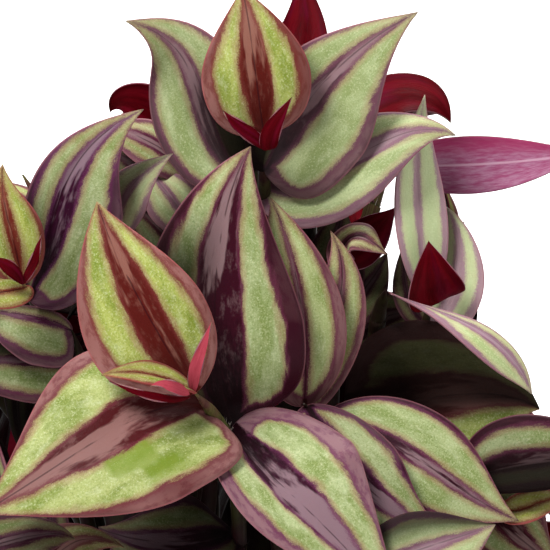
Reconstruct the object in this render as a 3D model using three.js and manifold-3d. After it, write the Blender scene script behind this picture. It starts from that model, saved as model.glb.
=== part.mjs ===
// A potted tradescantia: a 12 cm clay pot, its soil, and the leafy stems that mound over it.
// Millimetres, +Z up. The origin is the middle of the pot's foot, and the plant's front faces -Y.
import * as THREE from 'three';
import { mergeVertices } from 'three/addons/utils/BufferGeometryUtils.js';
import Module from 'manifold-3d';

const wasm = await Module();
wasm.setup();

// ---- Driving dimensions ----
const POT = {
  height: 100, rimRadius: 60, rimHeight: 22, bodyTopRadius: 55, footRadius: 42.5,
  wall: 4.5, floor: 9, edge: 1.5, sides: 36, holeRadius: 5, holeRing: 22, holes: 3,
};
const SOIL = { top: 91, crumb: 1.3, rings: 3, sides: 22 };
const GAP = 0.35;            // clearance between pieces that touch
const STEM = { radius: 1.8, sides: 4, steps: 6, sunk: 12 };
const BLADE_THICKNESS = 1.2; // at the midrib
const BLADE_STATIONS = [0.08, 0.3, 0.66];
const LONG_STATIONS = [0.06, 0.18, 0.34, 0.52, 0.74];
const LONG_BLADE = 36;       // front blades longer than this have the finer stations

// ---- Small helpers ----
const vec = (x, y, z) => new THREE.Vector3(x, y, z);
const UP = vec(0, 0, 1);
const DOWN = vec(0, 0, -1);

// The front leaves are placed in the plane seen from the front and 15 degrees above:
// across to the right, up, and nearer to the eye, from the middle of that view.
const VIEW_TILT = THREE.MathUtils.degToRad(15);
const VIEW_MIDDLE = vec(4, 0, 185);

function facing([across, up, near]) {
  return vec(
    across,
    up * Math.sin(VIEW_TILT) - near * Math.cos(VIEW_TILT),
    up * Math.cos(VIEW_TILT) + near * Math.sin(VIEW_TILT),
  );
}

const inFront = (spot) => facing(spot).add(VIEW_MIDDLE);

function asSeen(point) {
  const away = point.clone().sub(VIEW_MIDDLE);
  return {
    across: away.x,
    up: away.y * Math.sin(VIEW_TILT) + away.z * Math.cos(VIEW_TILT),
    near: -away.y * Math.cos(VIEW_TILT) + away.z * Math.sin(VIEW_TILT),
  };
}

// Seeded draws, so that the plant grows the same way each time.
let seed = 7;
function between(low, high) {
  seed = (seed * 16807) % 2147483647;
  return low + ((high - low) * seed) / 2147483647;
}

// ---- A leaf blade ----
// Its midrib passes through four points at equal steps from root to tip. Each half leans up from
// the midrib by its fold and curls back towards the edge, and its lobe sweeps behind the root.
const TIP_TAPER = 1.15;
const CURL = THREE.MathUtils.degToRad(25);
const FOLD_FADE = 0.7;
const LOBE_END = 0.35;

function leaf(rib, face, half, fold, { lobe = [0.3, 0.3], base = 0.7 } = {}) {
  return { rib, face, half, fold: fold.map(THREE.MathUtils.degToRad), lobe, base };
}

function blade(rib, face, half, fold, form) {
  return leaf(rib.map(inFront), face.map(facing), half, fold, form);
}

function ribPoint({ rib }, t) {
  const weights = [
    -4.5 * (t - 1 / 3) * (t - 2 / 3) * (t - 1),
    13.5 * t * (t - 2 / 3) * (t - 1),
    -13.5 * t * (t - 1 / 3) * (t - 1),
    4.5 * t * (t - 1 / 3) * (t - 2 / 3),
  ];
  const point = vec(0, 0, 0);
  rib.forEach((p, i) => point.addScaledVector(p, weights[i]));
  return point;
}

// How wide the blade is at t, as a share of its widest.
function outline(t, base) {
  const widest = base / (base + TIP_TAPER);
  const most = widest ** base * (1 - widest) ** TIP_TAPER;
  return (t ** base * (1 - t) ** TIP_TAPER) / most;
}

function bladeFrame(shape, t) {
  const step = 1e-3;
  const along = ribPoint(shape, Math.min(t + step, 1));
  along.sub(ribPoint(shape, Math.max(t - step, 0))).normalize();
  const face = shape.face[0].clone().multiplyScalar(1 - t).addScaledVector(shape.face[1], t);
  face.addScaledVector(along, -face.dot(along)).normalize();
  return { along, face, side: along.clone().cross(face) };
}

// The point at t along the midrib and v across, from -1 at the left edge to 1 at the right.
function bladePoint(shape, t, v, { along, face, side } = bladeFrame(shape, t)) {
  const hand = v < 0 ? 0 : 1;
  const reach = Math.abs(v);
  const half = shape.half[hand] * outline(t, shape.base);
  const fold = shape.fold[hand] * (1 - FOLD_FADE * t);
  const out = (Math.sin(fold) - Math.sin(fold - CURL * reach)) / CURL;
  const lift = (Math.cos(fold - CURL * reach) - Math.cos(fold)) / CURL;
  const swept = shape.lobe[hand] * reach * Math.max(0, 1 - t / LOBE_END);
  return ribPoint(shape, t)
    .addScaledVector(side, Math.sign(v) * half * out)
    .addScaledVector(face, half * lift)
    .addScaledVector(along, -half * swept);
}

// ---- A stem's route: straight up out of the soil, then bending over to its growing end ----
function route(foot, end, aim, { lead = 0.35, rise = 0.45 } = {}) {
  const start = vec(foot[0], foot[1], SOIL.top - STEM.sunk);
  const span = end.distanceTo(start);
  return new THREE.CubicBezierCurve3(
    start,
    start.clone().addScaledVector(UP, span * rise),
    end.clone().addScaledVector(aim.clone().normalize(), -span * lead),
    end,
  );
}

const stems = [];
function stem(name, foot, end, aim, leaves, bend) {
  stems.push({ name, curve: route(foot, inFront(end), facing(aim), bend), leaves, front: true });
}

// ---- The leafy stems of the front, leaf by leaf ----
stem('stem_crown', [2, 4], [-2.5, 30.5, 30], [0, 0.5, 0.85], [
  blade([[-2.5, 32, 32], [-4, 42.5, 37], [-5.5, 54, 37], [-7.5, 65, 32]],
    [[0, 0.3, 1], [0, 0.1, 1]], [12.5, 12.5], [12, 12]),
  blade([[-6, 20.5, 22], [-15.5, 34.5, 21], [-20.5, 48.5, 22], [-34, 57.5, 28]],
    [[-0.4, 0.1, 0.9], [-0.2, 0.4, 0.9]], [12.5, 12.5], [10, 20]),
  blade([[-2.5, 23.5, 24], [4.5, 35, 27], [15, 47.5, 26], [32.5, 59.5, 30]],
    [[0.25, -0.2, 1], [-0.1, 0.5, 1]], [11.5, 17.5], [35, 5], { lobe: [0.2, 0.9] }),
  blade([[-2.5, 20.5, 13], [10.5, 22, 18], [25.5, 30.5, 21], [41, 31.5, 20]],
    [[0, 0.2, 1], [0, 0.6, 1]], [11, 11], [5, 12]),
  blade([[0, 25, 16], [3.5, 42, 9], [6.5, 55.5, 4], [5, 69.5, -4]],
    [[0.1, -0.2, -1], [0, 0, -1]], [7.5, 7.5], [15, 15]),
]);
stem('stem_behind_right', [12, 14], [16, 33, -2], [0.4, 0.8, 0.1], [
  blade([[16, 33, 0], [25, 40, -2], [34, 40.5, 0], [40, 34.5, 2]],
    [[0.3, -0.5, -1], [0.2, -0.8, -0.6]], [6.5, 6.5], [15, 15]),
]);
stem('stem_reaching', [40, 3], [27.5, 25, -6], [-0.7, 0.7, -0.2], [
  blade([[27.5, 25, -6], [42, 25, -4], [57, 26, -2], [71.5, 28, 0]],
    [[0, 0.1, -1], [0, 0.1, -1]], [6.75, 6.75], [5, 5]),
], { lead: 0.15, rise: 0.6 });
stem('stem_bowing', [24, -11], [25, -3.5, 19.5], [0.1, 0.3, 0.95], [
  blade([[25, -3.5, 20], [36, -8, 31], [49, -14.5, 35], [58, -27, 34]],
    [[0.1, 1, 0], [0.5, 0.4, 0.8]], [3, 7], [25, 5], { base: 2.4 }),
], { lead: 0.3, rise: 0.7 });
stem('stem_far_right', [38, 14], [35.5, -5.5, 10], [0.2, 0.7, 0.6], [
  blade([[34.5, -5.5, 8], [32.5, 10, 13], [32, 25, 13], [34, 41, 8]],
    [[0.3, 0, 1], [0.2, 0.2, 1]], [6, 7.5], [40, 5]),
  blade([[37, -6.3, 11], [36.2, -1.8, 16], [35.4, 3.2, 18], [34.8, 7.8, 17]],
    [[0, -0.4, -1], [0, -0.2, -1]], [6.8, 6.8], [10, 10], { lobe: [0, 0], base: 0.2 }),
  blade([[34.5, -10.5, 5.5], [40, -6, 4.5], [42, 4.5, 6], [39, 15.5, 4]],
    [[-0.3, 0.1, 1], [-0.4, 0.2, 1]], [6.5, 6.5], [15, 5]),
  blade([[34.5, -11.5, 5], [31, -7, 5.5], [29.3, -0.5, 5.5], [29.5, 8, 3.5]],
    [[0.3, 0.1, 1], [0.3, 0.1, 1]], [3.5, 3.5], [15, 15]),
]);
stem('stem_shaded', [26, -22], [16, -29.5, 16], [0.4, 0.5, 0.6], [
  blade([[16, -29.5, 14], [30.5, -28.5, 16], [46.5, -27, 15], [60, -30.5, 8]],
    [[0, 0.3, 1], [0, 0.3, 1]], [20, 20], [5, 20]),
]);
stem('stem_heart', [-6, -34], [-18, -26.5, 76], [-0.4, 0.38, 0.83], [
  blade([[-18, -26.5, 70], [-26, -13.5, 78], [-34, 1.5, 78], [-40, 16.5, 72]],
    [[0.2, 0.1, 1], [0, 0.3, 1]], [16, 13.5], [12, 12], { lobe: [-0.35, 0.3] }),
  blade([[-17, -29, 66], [-30.5, -32, 74], [-46, -41, 78], [-66.5, -54, 76]],
    [[0, 0.5, 1], [0, 0.3, 1]], [22.5, 21.5], [5, 5], { lobe: [0.85, 0.3] }),
  blade([[-18, -26.5, 76], [-24.5, -23.5, 80], [-31.5, -22, 82], [-39, -22.5, 82]],
    [[-0.2, 0.8, 0.8], [0, 0.6, 0.8]], [4.5, 4.5], [50, 20]),
  blade([[-9.5, -34, 52], [-13.5, -13.5, 62], [-12, 10, 60], [-5.5, 29, 50]],
    [[0.2, 0.2, 1], [0.3, 0.3, 1]], [19, 21.5], [25, 10], { lobe: [0.3, 0.5], base: 0.5 }),
  blade([[-10, -35, 60], [0, -46, 70], [11.5, -57, 74], [29.5, -76.5, 72]],
    [[0.2, 0.4, 1], [0.2, 0.1, 1]], [20.5, 16.5], [5, 50], { lobe: [0.9, 0.3] }),
  blade([[-9.5, -58, 29], [-18, -60, 38], [-29, -60, 40], [-40, -57, 36]],
    [[0, 0.3, 1], [0, 0.3, 1]], [12, 12], [10, 10]),
]);
stem('stem_right_front', [14, -32], [6.5, -29, 50], [-0.2, 0.3, 0.9], [
  blade([[6.5, -29.5, 40], [6.5, -13.5, 48], [4, 2.5, 48], [-1, 17.5, 42]],
    [[0.3, 0.1, 1], [0.2, 0.2, 1]], [11, 10], [10, 20]),
  blade([[8, -31, 35], [11.5, -16, 40], [15, -3, 41], [12.5, 10, 36]],
    [[0.3, 0.1, 1], [0.2, 0.2, 1]], [7.5, 7.5], [10, 20]),
  blade([[7, -29.5, 48], [15.5, -42, 57], [25.5, -52, 60], [39, -60, 58]],
    [[0.2, 0.5, 1], [0.1, 0.3, 1]], [12, 10], [10, 10]),
  blade([[11, -32, 38], [28, -39, 47], [41.5, -48, 50], [55, -55.5, 48]],
    [[0.2, 0.5, 1], [0.1, 0.3, 1]], [13, 11], [10, 10]),
]);
stem('stem_cup', [18, -2], [15, 1.5, 13], [0.1, 0.8, 0.5], [
  blade([[13.5, 1, 12], [17, 8, 14], [21, 8, 16], [25.5, 4.5, 14]],
    [[0, 0.7, 0.7], [0, 0.7, 0.7]], [5, 5], [15, 15]),
  blade([[14.5, 2, 11], [19, 6.5, 9], [23, 10.5, 8], [27.5, 15.5, 5]],
    [[0.2, -0.3, -1], [0, -0.3, -1]], [5.5, 5.5], [10, 10]),
  blade([[14, -7, 8], [13.5, 0, 6], [14, 8, 4], [16, 16, 0]],
    [[0, 0.2, 1], [0, 0.2, 1]], [7, 7], [10, 10]),
  blade([[13.5, -17, 3], [20, -12, -3], [27, -9, -4], [35, -8, -6]],
    [[0, 0.2, 1], [0, 0.2, 1]], [8, 8], [10, 10]),
  blade([[13.8, -11, 5.5], [18, -6, 5], [22, -1, 3], [25.5, 5, -1]],
    [[0, 0.2, 1], [0, 0.2, 1]], [6, 6], [10, 10]),
]);
stem('stem_low_right', [34, -34], [52.5, -52.5, 40], [0.6, -0.55, 0.4], [
  blade([[43, -47, 33.5], [54, -43, 38], [68, -41, 38], [83, -37.5, 34]],
    [[0, 0.3, 1], [0, 0.3, 1]], [12, 9.5], [10, 60]),
  blade([[50.5, -52, 36.5], [55.5, -53, 38], [61.5, -51, 38], [68, -52.5, 36]],
    [[0, 0.6, 0.8], [0, 0.6, 0.8]], [4, 4], [40, 10]),
]);
stem('stem_low_front', [14, -44], [18, -67.5, 62], [0.2, 0.3, 0.9], [
  blade([[19, -67, 62], [29, -63, 67.5], [39.5, -59.5, 68], [49.6, -56.2, 65]],
    [[0, 0.4, 1], [0, 0.4, 1]], [10, 12], [10, 10]),
]);
stem('stem_left', [-26, -24], [-57, -2, 46], [0, -0.1, 1], [
  blade([[-57, -2, 44], [-59, 7.5, 48], [-61, 16, 48], [-61.5, 25, 44]],
    [[0.1, 0.1, 1], [0.2, 0.2, 1]], [7, 7.5], [10, 10]),
  blade([[-56, -2.5, 44], [-59, -3.5, 46], [-66, -4.5, 46], [-74, -5.5, 44]],
    [[0, 0.3, 1], [0, 0.3, 1]], [4, 4], [10, 10]),
  blade([[-56, -5, 31], [-50.5, 11, 40], [-44.5, 25.5, 40], [-29.5, 37.5, 38]],
    [[0.4, 0, 1], [-0.1, 0.5, 1]], [8.5, 16], [50, 5], { lobe: [0.2, 1.3] }),
], { lead: 0.6 });
stem('stem_left_low', [-28, -34], [-46, -12.5, 24], [-0.3, 0.8, 0.4], [
  blade([[-46, -12.5, 23.5], [-52, -10, 27], [-60, -8.5, 27.5], [-69, -7.5, 24]],
    [[0, 0.3, 1], [0, 0.3, 1]], [11, 2.5], [10, 10], { lobe: [0.9, 0.3] }),
  blade([[-42, -22, 21], [-53, -19.5, 22], [-66, -19, 23], [-83, -20, 20]],
    [[0, 0.3, 1], [0, 0.3, 1]], [10, 5], [10, 10], { lobe: [0.9, 0.3] }),
]);
stem('stem_behind_left', [-14, 6], [-20.5, 30, 1], [-0.1, 0.9, -0.3], [
  blade([[-20.5, 30, 0], [-26, 36, 2], [-33, 39.5, 2], [-37.5, 37, -2]],
    [[0, 0.3, -1], [0, 0.3, -1]], [6, 6], [10, 10]),
  blade([[-19.5, 22.5, 6], [-26, 28.5, 12], [-33, 32, 12], [-38, 32.5, 10]],
    [[0, 0.5, 1], [0, 0.5, 1]], [6, 6], [10, 10]),
  blade([[-19, 10, 6], [-22.5, 16, 12], [-26, 20.5, 12], [-29.5, 25, 10]],
    [[0, 0.4, 1], [0, 0.4, 1]], [6.5, 6.5], [10, 10]),
  blade([[-19, 15, 4], [-25, 20.5, 6], [-32, 25, 6], [-39, 29, 3]],
    [[0, 0.3, 1], [0, 0.3, 1]], [7.5, 7.5], [10, 10]),
  blade([[-18.5, 4, 4.5], [-24, 9.5, 6], [-29, 14, 6], [-35, 18, 3]],
    [[0, 0.3, 1], [0, 0.3, 1]], [7.5, 7.5], [10, 10]),
]);
stem('stem_inner_left', [-20, -10], [-35.5, 8, 27], [-0.2, 0.8, 0.5], [
  blade([[-35.5, 8, 26], [-34.5, 16, 30], [-30.5, 22, 30], [-23, 27.5, 28]],
    [[0.1, 0.3, 1], [0, 0.5, 1]], [5.5, 5.5], [15, 15]),
]);
stem('stem_low_left', [-24, -42], [-76, -65, 62], [-0.7, 0.1, 0.7], [
  blade([[-76, -65, 62], [-65, -61.5, 66], [-53.5, -58.5, 66], [-45, -59.5, 62]],
    [[0, 0.5, 1], [0, 0.5, 1]], [7.5, 7.5], [10, 10]),
  blade([[-57, -70, 46], [-51, -65, 54], [-44.5, -60, 54], [-34, -61.5, 50]],
    [[0, 0.5, 1], [0, 0.5, 1]], [7.5, 7.5], [10, 10]),
]);

// ---- Room: what a new stem or leaf has to keep clear of ----
const SAMPLES_ALONG = 12;
const SAMPLES_ACROSS = 7;
const CURVE_SAMPLES = 40;
const LEAF_ROOM = 3.2;
const STEM_ROOM = { leaf: 3.6, stem: 4.6, foot: 6 };

function bladeSamples(shape) {
  const points = [];
  for (let i = 0; i < SAMPLES_ALONG; i += 1) {
    const t = (i + 0.4) / (SAMPLES_ALONG - 0.6);
    const frame = bladeFrame(shape, t);
    for (let j = 0; j < SAMPLES_ACROSS; j += 1) {
      points.push(bladePoint(shape, t, (2 * j) / (SAMPLES_ACROSS - 1) - 1, frame));
    }
  }
  return points;
}

function cloud(owner, points) {
  return { owner, points, box: new THREE.Box3().setFromPoints(points) };
}

// True where every point keeps that distance from all clouds but its owner's.
function apart(points, clouds, owner, distance) {
  const box = new THREE.Box3().setFromPoints(points).expandByScalar(distance);
  const reach = distance * distance;
  return clouds.every((other) => other.owner === owner || !box.intersectsBox(other.box)
    || points.every((p) => other.points.every((q) => p.distanceToSquared(q) > reach)));
}

// The outline that the foliage has from the front, as [across, highest point].
const SKYLINE = [
  [-200, 20], [-62, 24], [-48, 22], [-44, 33], [-37, 36], [-34, 42], [-28, 44], [-27, 50], [-16, 54],
  [-14, 66], [9, 66], [12, 60], [25, 50], [33, 45], [39, 38], [41, 18], [46, 8], [47, -6], [51, -14],
  [57, -20], [59, -30], [200, -34],
];
const WINDOW = { left: 23.5, right: 31, bottom: -3.5, top: 20 };

function underSkyline(point) {
  const { across, up } = asSeen(point);
  const next = SKYLINE.findIndex(([x]) => x > across);
  const [x0, y0] = SKYLINE[next - 1];
  const [x1, y1] = SKYLINE[next];
  const top = y0 + ((y1 - y0) * (across - x0)) / (x1 - x0);
  const open = across > WINDOW.left && across < WINDOW.right && up > WINDOW.bottom && up < WINDOW.top;
  return up < top && !open;
}

// True where no point hides a front leaf from the eye.
const COVER = 4.5;
const frontSamples = stems.flatMap(({ leaves }) => leaves.flatMap(bladeSamples)).map(asSeen);
function behindFront(points) {
  return points.map(asSeen).every((p) => frontSamples.every(
    (q) => p.near <= q.near - 1 || Math.hypot(p.across - q.across, p.up - q.up) >= COVER,
  ));
}

function clearOfPot(point) {
  const low = point.z < POT.height + 3 && Math.hypot(point.x, point.y) < POT.rimRadius + 4;
  return !low && point.z > 8;
}

function overRim(point) {
  const out = Math.hypot(point.x, point.y);
  return point.z > POT.height + 5 || out < 47 || out > 66;
}

// ---- The rest of the foliage: stems spread evenly over a mound, then leaves from the tips down ----
const MOUND = { middle: vec(0, 4, 150), wide: 94, tall: 84, lowest: -0.5 };
const STEM_COUNT = 43;
const STEM_TRIES = 60;
const LEAF_ROUNDS = 8;
const LEAF_TRIES = 34;
const GOLDEN_TURN = 2.39996;
const DEPTHS = [1, 0.9, 0.8, 0.68, 0.56]; // how far out on the mound a stem may end
const LEANS = [1.08, 0.8, 0.5, 0.3, 0.15, 0.05, 0];
const LEAF_LENGTH = 58;
const BUD_FOLD = 28;         // how much more the youngest leaf of a stem is folded, in degrees

const leafClouds = stems.flatMap(({ leaves }, i) => leaves.map((one) => cloud(i, bladeSamples(one))));
const outerHalves = []; // of the leaves below, which keep clear of one another on their own stem
const stemClouds = stems.map(({ curve }, i) => cloud(i, curve.getPoints(CURVE_SAMPLES)));

function drawRoute(number, attempt) {
  const rise = 1 - ((1 - MOUND.lowest) * (number + 0.5)) / STEM_COUNT;
  const level = Math.sqrt(1 - rise * rise);
  const turn = GOLDEN_TURN * number + between(-0.3, 0.3);
  const way = vec(Math.cos(turn) * level, Math.sin(turn) * level, rise);
  const depth = DEPTHS[Math.floor((attempt * DEPTHS.length) / STEM_TRIES)] * between(0.95, 1.05);
  const end = way.clone().multiply(vec(MOUND.wide, MOUND.wide, MOUND.tall)).multiplyScalar(depth);
  const footTurn = turn + between(-0.6, 0.6);
  const footOut = (8 + 34 * level) * between(0.7, 1.05);
  const hangs = rise < -0.05;
  return route(
    [Math.cos(footTurn) * footOut, Math.sin(footTurn) * footOut],
    end.add(MOUND.middle),
    way.addScaledVector(UP, hangs ? -0.6 : 0.3),
    { lead: between(0.25, 0.4), rise: hangs ? 0.8 : between(0.35, 0.5) },
  );
}

function growStem(number) {
  for (let attempt = 0; attempt < STEM_TRIES; attempt += 1) {
    const curve = drawRoute(number, attempt);
    const points = curve.getPoints(CURVE_SAMPLES);
    const standing = points.filter((p) => p.z > SOIL.top + 3);
    const fits = points.every(overRim)
      && stemClouds.every((other) => other.points[0].distanceTo(points[0]) > STEM_ROOM.foot)
      && apart(standing, leafClouds, -1, STEM_ROOM.leaf)
      && apart(points, stemClouds, -1, STEM_ROOM.stem)
      && points.every(underSkyline)
      && behindFront(points);
    if (fits) {
      stemClouds.push(cloud(stems.length, points));
      const spin = between(0, Math.PI);
      stems.push({ name: `stem_${number + 1}`, curve, leaves: [], front: false, spin });
      return;
    }
  }
}

// A point and direction on a stem, at a distance back from its growing end.
function nodeOn(points, back) {
  let left = back;
  for (let i = points.length - 1; i > 0; i -= 1) {
    const axis = points[i].clone().sub(points[i - 1]);
    const size = axis.length();
    if (left <= size) {
      return { root: points[i].clone().addScaledVector(axis, -left / size), axis: axis.normalize() };
    }
    left -= size;
  }
  return null;
}

function drawLeaf({ root, axis }, spin, order, attempt) {
  const loose = 0.15 + 0.04 * attempt;
  const lean = LEANS[Math.min(order, LEANS.length - 1)] + between(-loose, loose);
  const swing = spin + (Math.PI + 0.25) * order + between(-2 * loose, 2 * loose);
  const grown = Math.min(1, 0.5 + 0.18 * order);
  const size = (LEAF_LENGTH + between(-6, 6)) * grown * (1 - 0.018 * attempt);
  const square = Math.abs(axis.z) < 0.9 ? UP : vec(1, 0, 0);
  const cross = square.clone().cross(axis).normalize();
  const side = cross.clone().multiplyScalar(Math.cos(swing))
    .addScaledVector(axis.clone().cross(cross), Math.sin(swing));
  const ahead = side.clone().multiplyScalar(Math.cos(lean)).addScaledVector(axis, Math.sin(lean));
  const face = axis.clone().multiplyScalar(Math.cos(lean)).addScaledVector(side, -Math.sin(lean));
  const droop = between(0.02, 0.18);
  const at = (out, lift, fall) => root.clone().addScaledVector(ahead, out * size)
    .addScaledVector(face, lift * size).addScaledVector(DOWN, fall * droop * size);
  const rib = [root, at(0.34, 0.05, 0), at(0.67, 0.03, 0.4), at(0.97, -0.06, 1)];
  const tipFace = face.clone().addScaledVector(ahead, 0.25);
  const half = (size * between(0.46, 0.56)) / 2;
  const closed = order === 0 ? BUD_FOLD : 0;
  const fold = [closed + between(8, 26), closed + between(8, 26)];
  return leaf(rib, [face, tipFace], [half, half], fold, { lobe: [0.35, 0.35] });
}

function growLeaf(owner, order) {
  const { curve, leaves, spin } = stems[owner];
  const points = curve.getPoints(CURVE_SAMPLES);
  const node = nodeOn(points, 10 * order + order * (order - 1));
  if (node === null || node.root.z < SOIL.top + 12) {
    return;
  }
  for (let attempt = 0; attempt < LEAF_TRIES; attempt += 1) {
    const shape = drawLeaf(node, spin, order, attempt);
    const samples = bladeSamples(shape);
    const outer = samples.slice(3 * SAMPLES_ACROSS);
    const fits = samples.every(underSkyline)
      && samples.every(clearOfPot)
      && apart(samples, leafClouds, owner, LEAF_ROOM)
      && apart(outer, outerHalves.filter((other) => other.owner === owner), -1, LEAF_ROOM)
      && apart(samples.slice(SAMPLES_ACROSS), stemClouds, owner, STEM_ROOM.leaf)
      && behindFront(samples);
    if (fits) {
      leafClouds.push(cloud(owner, samples));
      outerHalves.push(cloud(owner, outer));
      leaves.push(shape);
      return;
    }
  }
}

const firstGrown = stems.length;
for (let number = 0; number < STEM_COUNT; number += 1) {
  growStem(number);
}
for (let order = 0; order < LEAF_ROUNDS; order += 1) {
  for (let owner = firstGrown; owner < stems.length; owner += 1) {
    growLeaf(owner, order);
  }
}

// ---- Solids ----
function toSolid(geometry) {
  geometry.deleteAttribute('normal');
  geometry.deleteAttribute('uv');
  const merged = mergeVertices(geometry, 1e-4);
  return new wasm.Manifold(new wasm.Mesh({
    numProp: 3,
    vertProperties: new Float32Array(merged.attributes.position.array),
    triVerts: new Uint32Array(merged.index.array),
  }));
}

function toGeometry(solid) {
  const { vertProperties, triVerts } = solid.getMesh();
  const geometry = new THREE.BufferGeometry();
  geometry.setAttribute('position', new THREE.BufferAttribute(vertProperties, 3));
  geometry.setIndex(new THREE.BufferAttribute(triVerts, 1));
  return geometry;
}

// A blade as a thin lens: at each station its two edges, and the midrib above and below them.
// It starts from a point inside the stem, which sinks its root.
function bladeSolid(shape, start, stations) {
  const points = [start];
  stations.forEach((t) => {
    const frame = bladeFrame(shape, t);
    const middle = ribPoint(shape, t);
    points.push(
      bladePoint(shape, t, -1, frame),
      middle.clone().addScaledVector(frame.face, BLADE_THICKNESS / 2),
      bladePoint(shape, t, 1, frame),
      middle.clone().addScaledVector(frame.face, -BLADE_THICKNESS / 2),
    );
  });
  const tip = points.push(shape.rib[3]) - 1;
  const triangles = [];
  const ring = (station, corner) => 1 + 4 * station + (corner % 4);
  for (let corner = 0; corner < 4; corner += 1) {
    triangles.push(0, ring(0, corner + 1), ring(0, corner));
    for (let s = 0; s + 1 < stations.length; s += 1) {
      // The diagonal leaves from the blade's edge on both faces, so that they stay alike.
      const a = ring(s, corner);
      const b = ring(s, corner + 1);
      const c = ring(s + 1, corner + 1);
      const d = ring(s + 1, corner);
      if (corner % 2 === 0) {
        triangles.push(a, b, c, a, c, d);
      } else {
        triangles.push(b, c, d, b, d, a);
      }
    }
    triangles.push(tip, ring(stations.length - 1, corner), ring(stations.length - 1, corner + 1));
  }
  const geometry = new THREE.BufferGeometry().setFromPoints(points);
  geometry.setIndex(triangles);
  return toSolid(geometry);
}

function tubeSolid(curve, radius) {
  const section = new THREE.Shape();
  for (let i = 0; i < STEM.sides; i += 1) {
    const angle = (2 * Math.PI * i) / STEM.sides;
    const x = radius * Math.cos(angle);
    const y = radius * Math.sin(angle);
    if (i === 0) {
      section.moveTo(x, y);
    } else {
      section.lineTo(x, y);
    }
  }
  const options = { steps: STEM.steps, bevelEnabled: false, extrudePath: curve };
  return toSolid(new THREE.ExtrudeGeometry(section, options));
}

// The point nearest to a spot on the middle line of a stem's tube, short of its two ends.
function nearestInside(curve, spot) {
  const corners = curve.getSpacedPoints(STEM.steps);
  const middles = [];
  for (let i = 0; i < STEM.steps; i += 1) {
    for (let share = 0.1; share < 0.95; share += 0.1) {
      middles.push(corners[i].clone().lerp(corners[i + 1], share));
    }
  }
  return middles.reduce((best, p) => (p.distanceTo(spot) < best.distanceTo(spot) ? p : best));
}

function leafyStemSolid({ curve, leaves, front }) {
  return leaves.reduce((solid, shape) => {
    const root = shape.rib[0];
    const fine = front && shape.rib[3].distanceTo(root) > LONG_BLADE;
    const stations = fine ? LONG_STATIONS : BLADE_STATIONS;
    return solid.add(bladeSolid(shape, nearestInside(curve, root), stations));
  }, tubeSolid(curve, STEM.radius));
}

function turned(profile, sides) {
  const solid = new THREE.LatheGeometry(profile.map(([r, z]) => new THREE.Vector2(r, z)), sides);
  return solid.rotateX(Math.PI / 2);
}

function wallInside(z) {
  const share = z / (POT.height - POT.rimHeight);
  return POT.footRadius + (POT.bodyTopRadius - POT.footRadius) * share - POT.wall;
}

function potSolid() {
  const { height, rimRadius, rimHeight, bodyTopRadius, footRadius, floor, edge } = POT;
  const shoulder = height - rimHeight;
  const mouth = rimRadius - POT.wall;
  const shell = toSolid(turned([
    [0, 0], [footRadius - edge, 0], [footRadius, edge], [bodyTopRadius, shoulder - edge],
    [rimRadius - 1, shoulder], [rimRadius, shoulder + edge], [rimRadius, height - edge],
    [rimRadius - edge, height], [mouth + edge, height], [mouth, height - edge],
    [wallInside(shoulder + 4), shoulder + 4], [wallInside(floor), floor], [0, floor],
  ], POT.sides));
  let solid = shell;
  for (let i = 0; i < POT.holes; i += 1) {
    const angle = (2 * Math.PI * i) / POT.holes + Math.PI / 2;
    const hole = new THREE.CylinderGeometry(POT.holeRadius, POT.holeRadius, 3 * floor, 12);
    hole.rotateX(Math.PI / 2);
    hole.translate(POT.holeRing * Math.cos(angle), POT.holeRing * Math.sin(angle), 0);
    solid = solid.subtract(toSolid(hole));
  }
  return solid;
}

// The soil's crumbs as a gentle relief, flat against the wall.
function soilHeight(x, y) {
  const waves = Math.sin(0.42 * x + 1.1) * Math.cos(0.37 * y) + 0.6 * Math.sin(0.83 * y - 0.51 * x);
  return SOIL.top + SOIL.crumb * waves;
}

function soilSolid() {
  const bottom = POT.floor + GAP;
  const shoulder = POT.height - POT.rimHeight;
  const kneeHeight = shoulder + 4;
  const mouth = POT.rimRadius - POT.wall;
  const wallAtTop = mouth - (mouth - wallInside(kneeHeight))
    * ((POT.height - POT.edge - SOIL.top) / (POT.height - POT.edge - kneeHeight));
  const outer = wallAtTop - 2 * GAP;
  const profile = [[0, bottom], [wallInside(bottom) - 2 * GAP, bottom],
    [wallInside(kneeHeight) - 2 * GAP, kneeHeight]];
  for (let i = 0; i < SOIL.rings; i += 1) {
    profile.push([outer * (1 - i / SOIL.rings), SOIL.top]);
  }
  profile.push([0, SOIL.top]);
  const geometry = turned(profile, SOIL.sides);
  const spots = geometry.attributes.position;
  for (let i = 0; i < spots.count; i += 1) {
    const out = Math.hypot(spots.getX(i), spots.getY(i));
    if (spots.getZ(i) > SOIL.top - 0.01 && out < outer - 0.01) {
      spots.setZ(i, soilHeight(spots.getX(i), spots.getY(i)));
    }
  }
  return stems.reduce((solid, { curve }) => {
    const { v0, v1, v2, v3 } = curve;
    const deeper = v0.clone().addScaledVector(DOWN, GAP);
    const hole = tubeSolid(new THREE.CubicBezierCurve3(deeper, v1, v2, v3), STEM.radius + 2 * GAP);
    return solid.subtract(hole);
  }, toSolid(geometry));
}

// ---- The plant ----
const clay = new THREE.MeshStandardMaterial({ color: 0xb5674a, roughness: 0.85, metalness: 0 });
const earth = new THREE.MeshStandardMaterial({ color: 0x3a2a20, roughness: 0.95, metalness: 0 });
const foliage = new THREE.MeshStandardMaterial({ color: 0x8a9a5e, roughness: 0.45, metalness: 0 });

const plant = new THREE.Group();
function place(name, solid, material) {
  const piece = new THREE.Mesh(toGeometry(solid), material);
  piece.name = name;
  plant.add(piece);
}

place('pot', potSolid(), clay);
place('soil', soilSolid(), earth);
stems.forEach((one) => place(one.name, leafyStemSolid(one), foliage));

export default plant;
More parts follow.
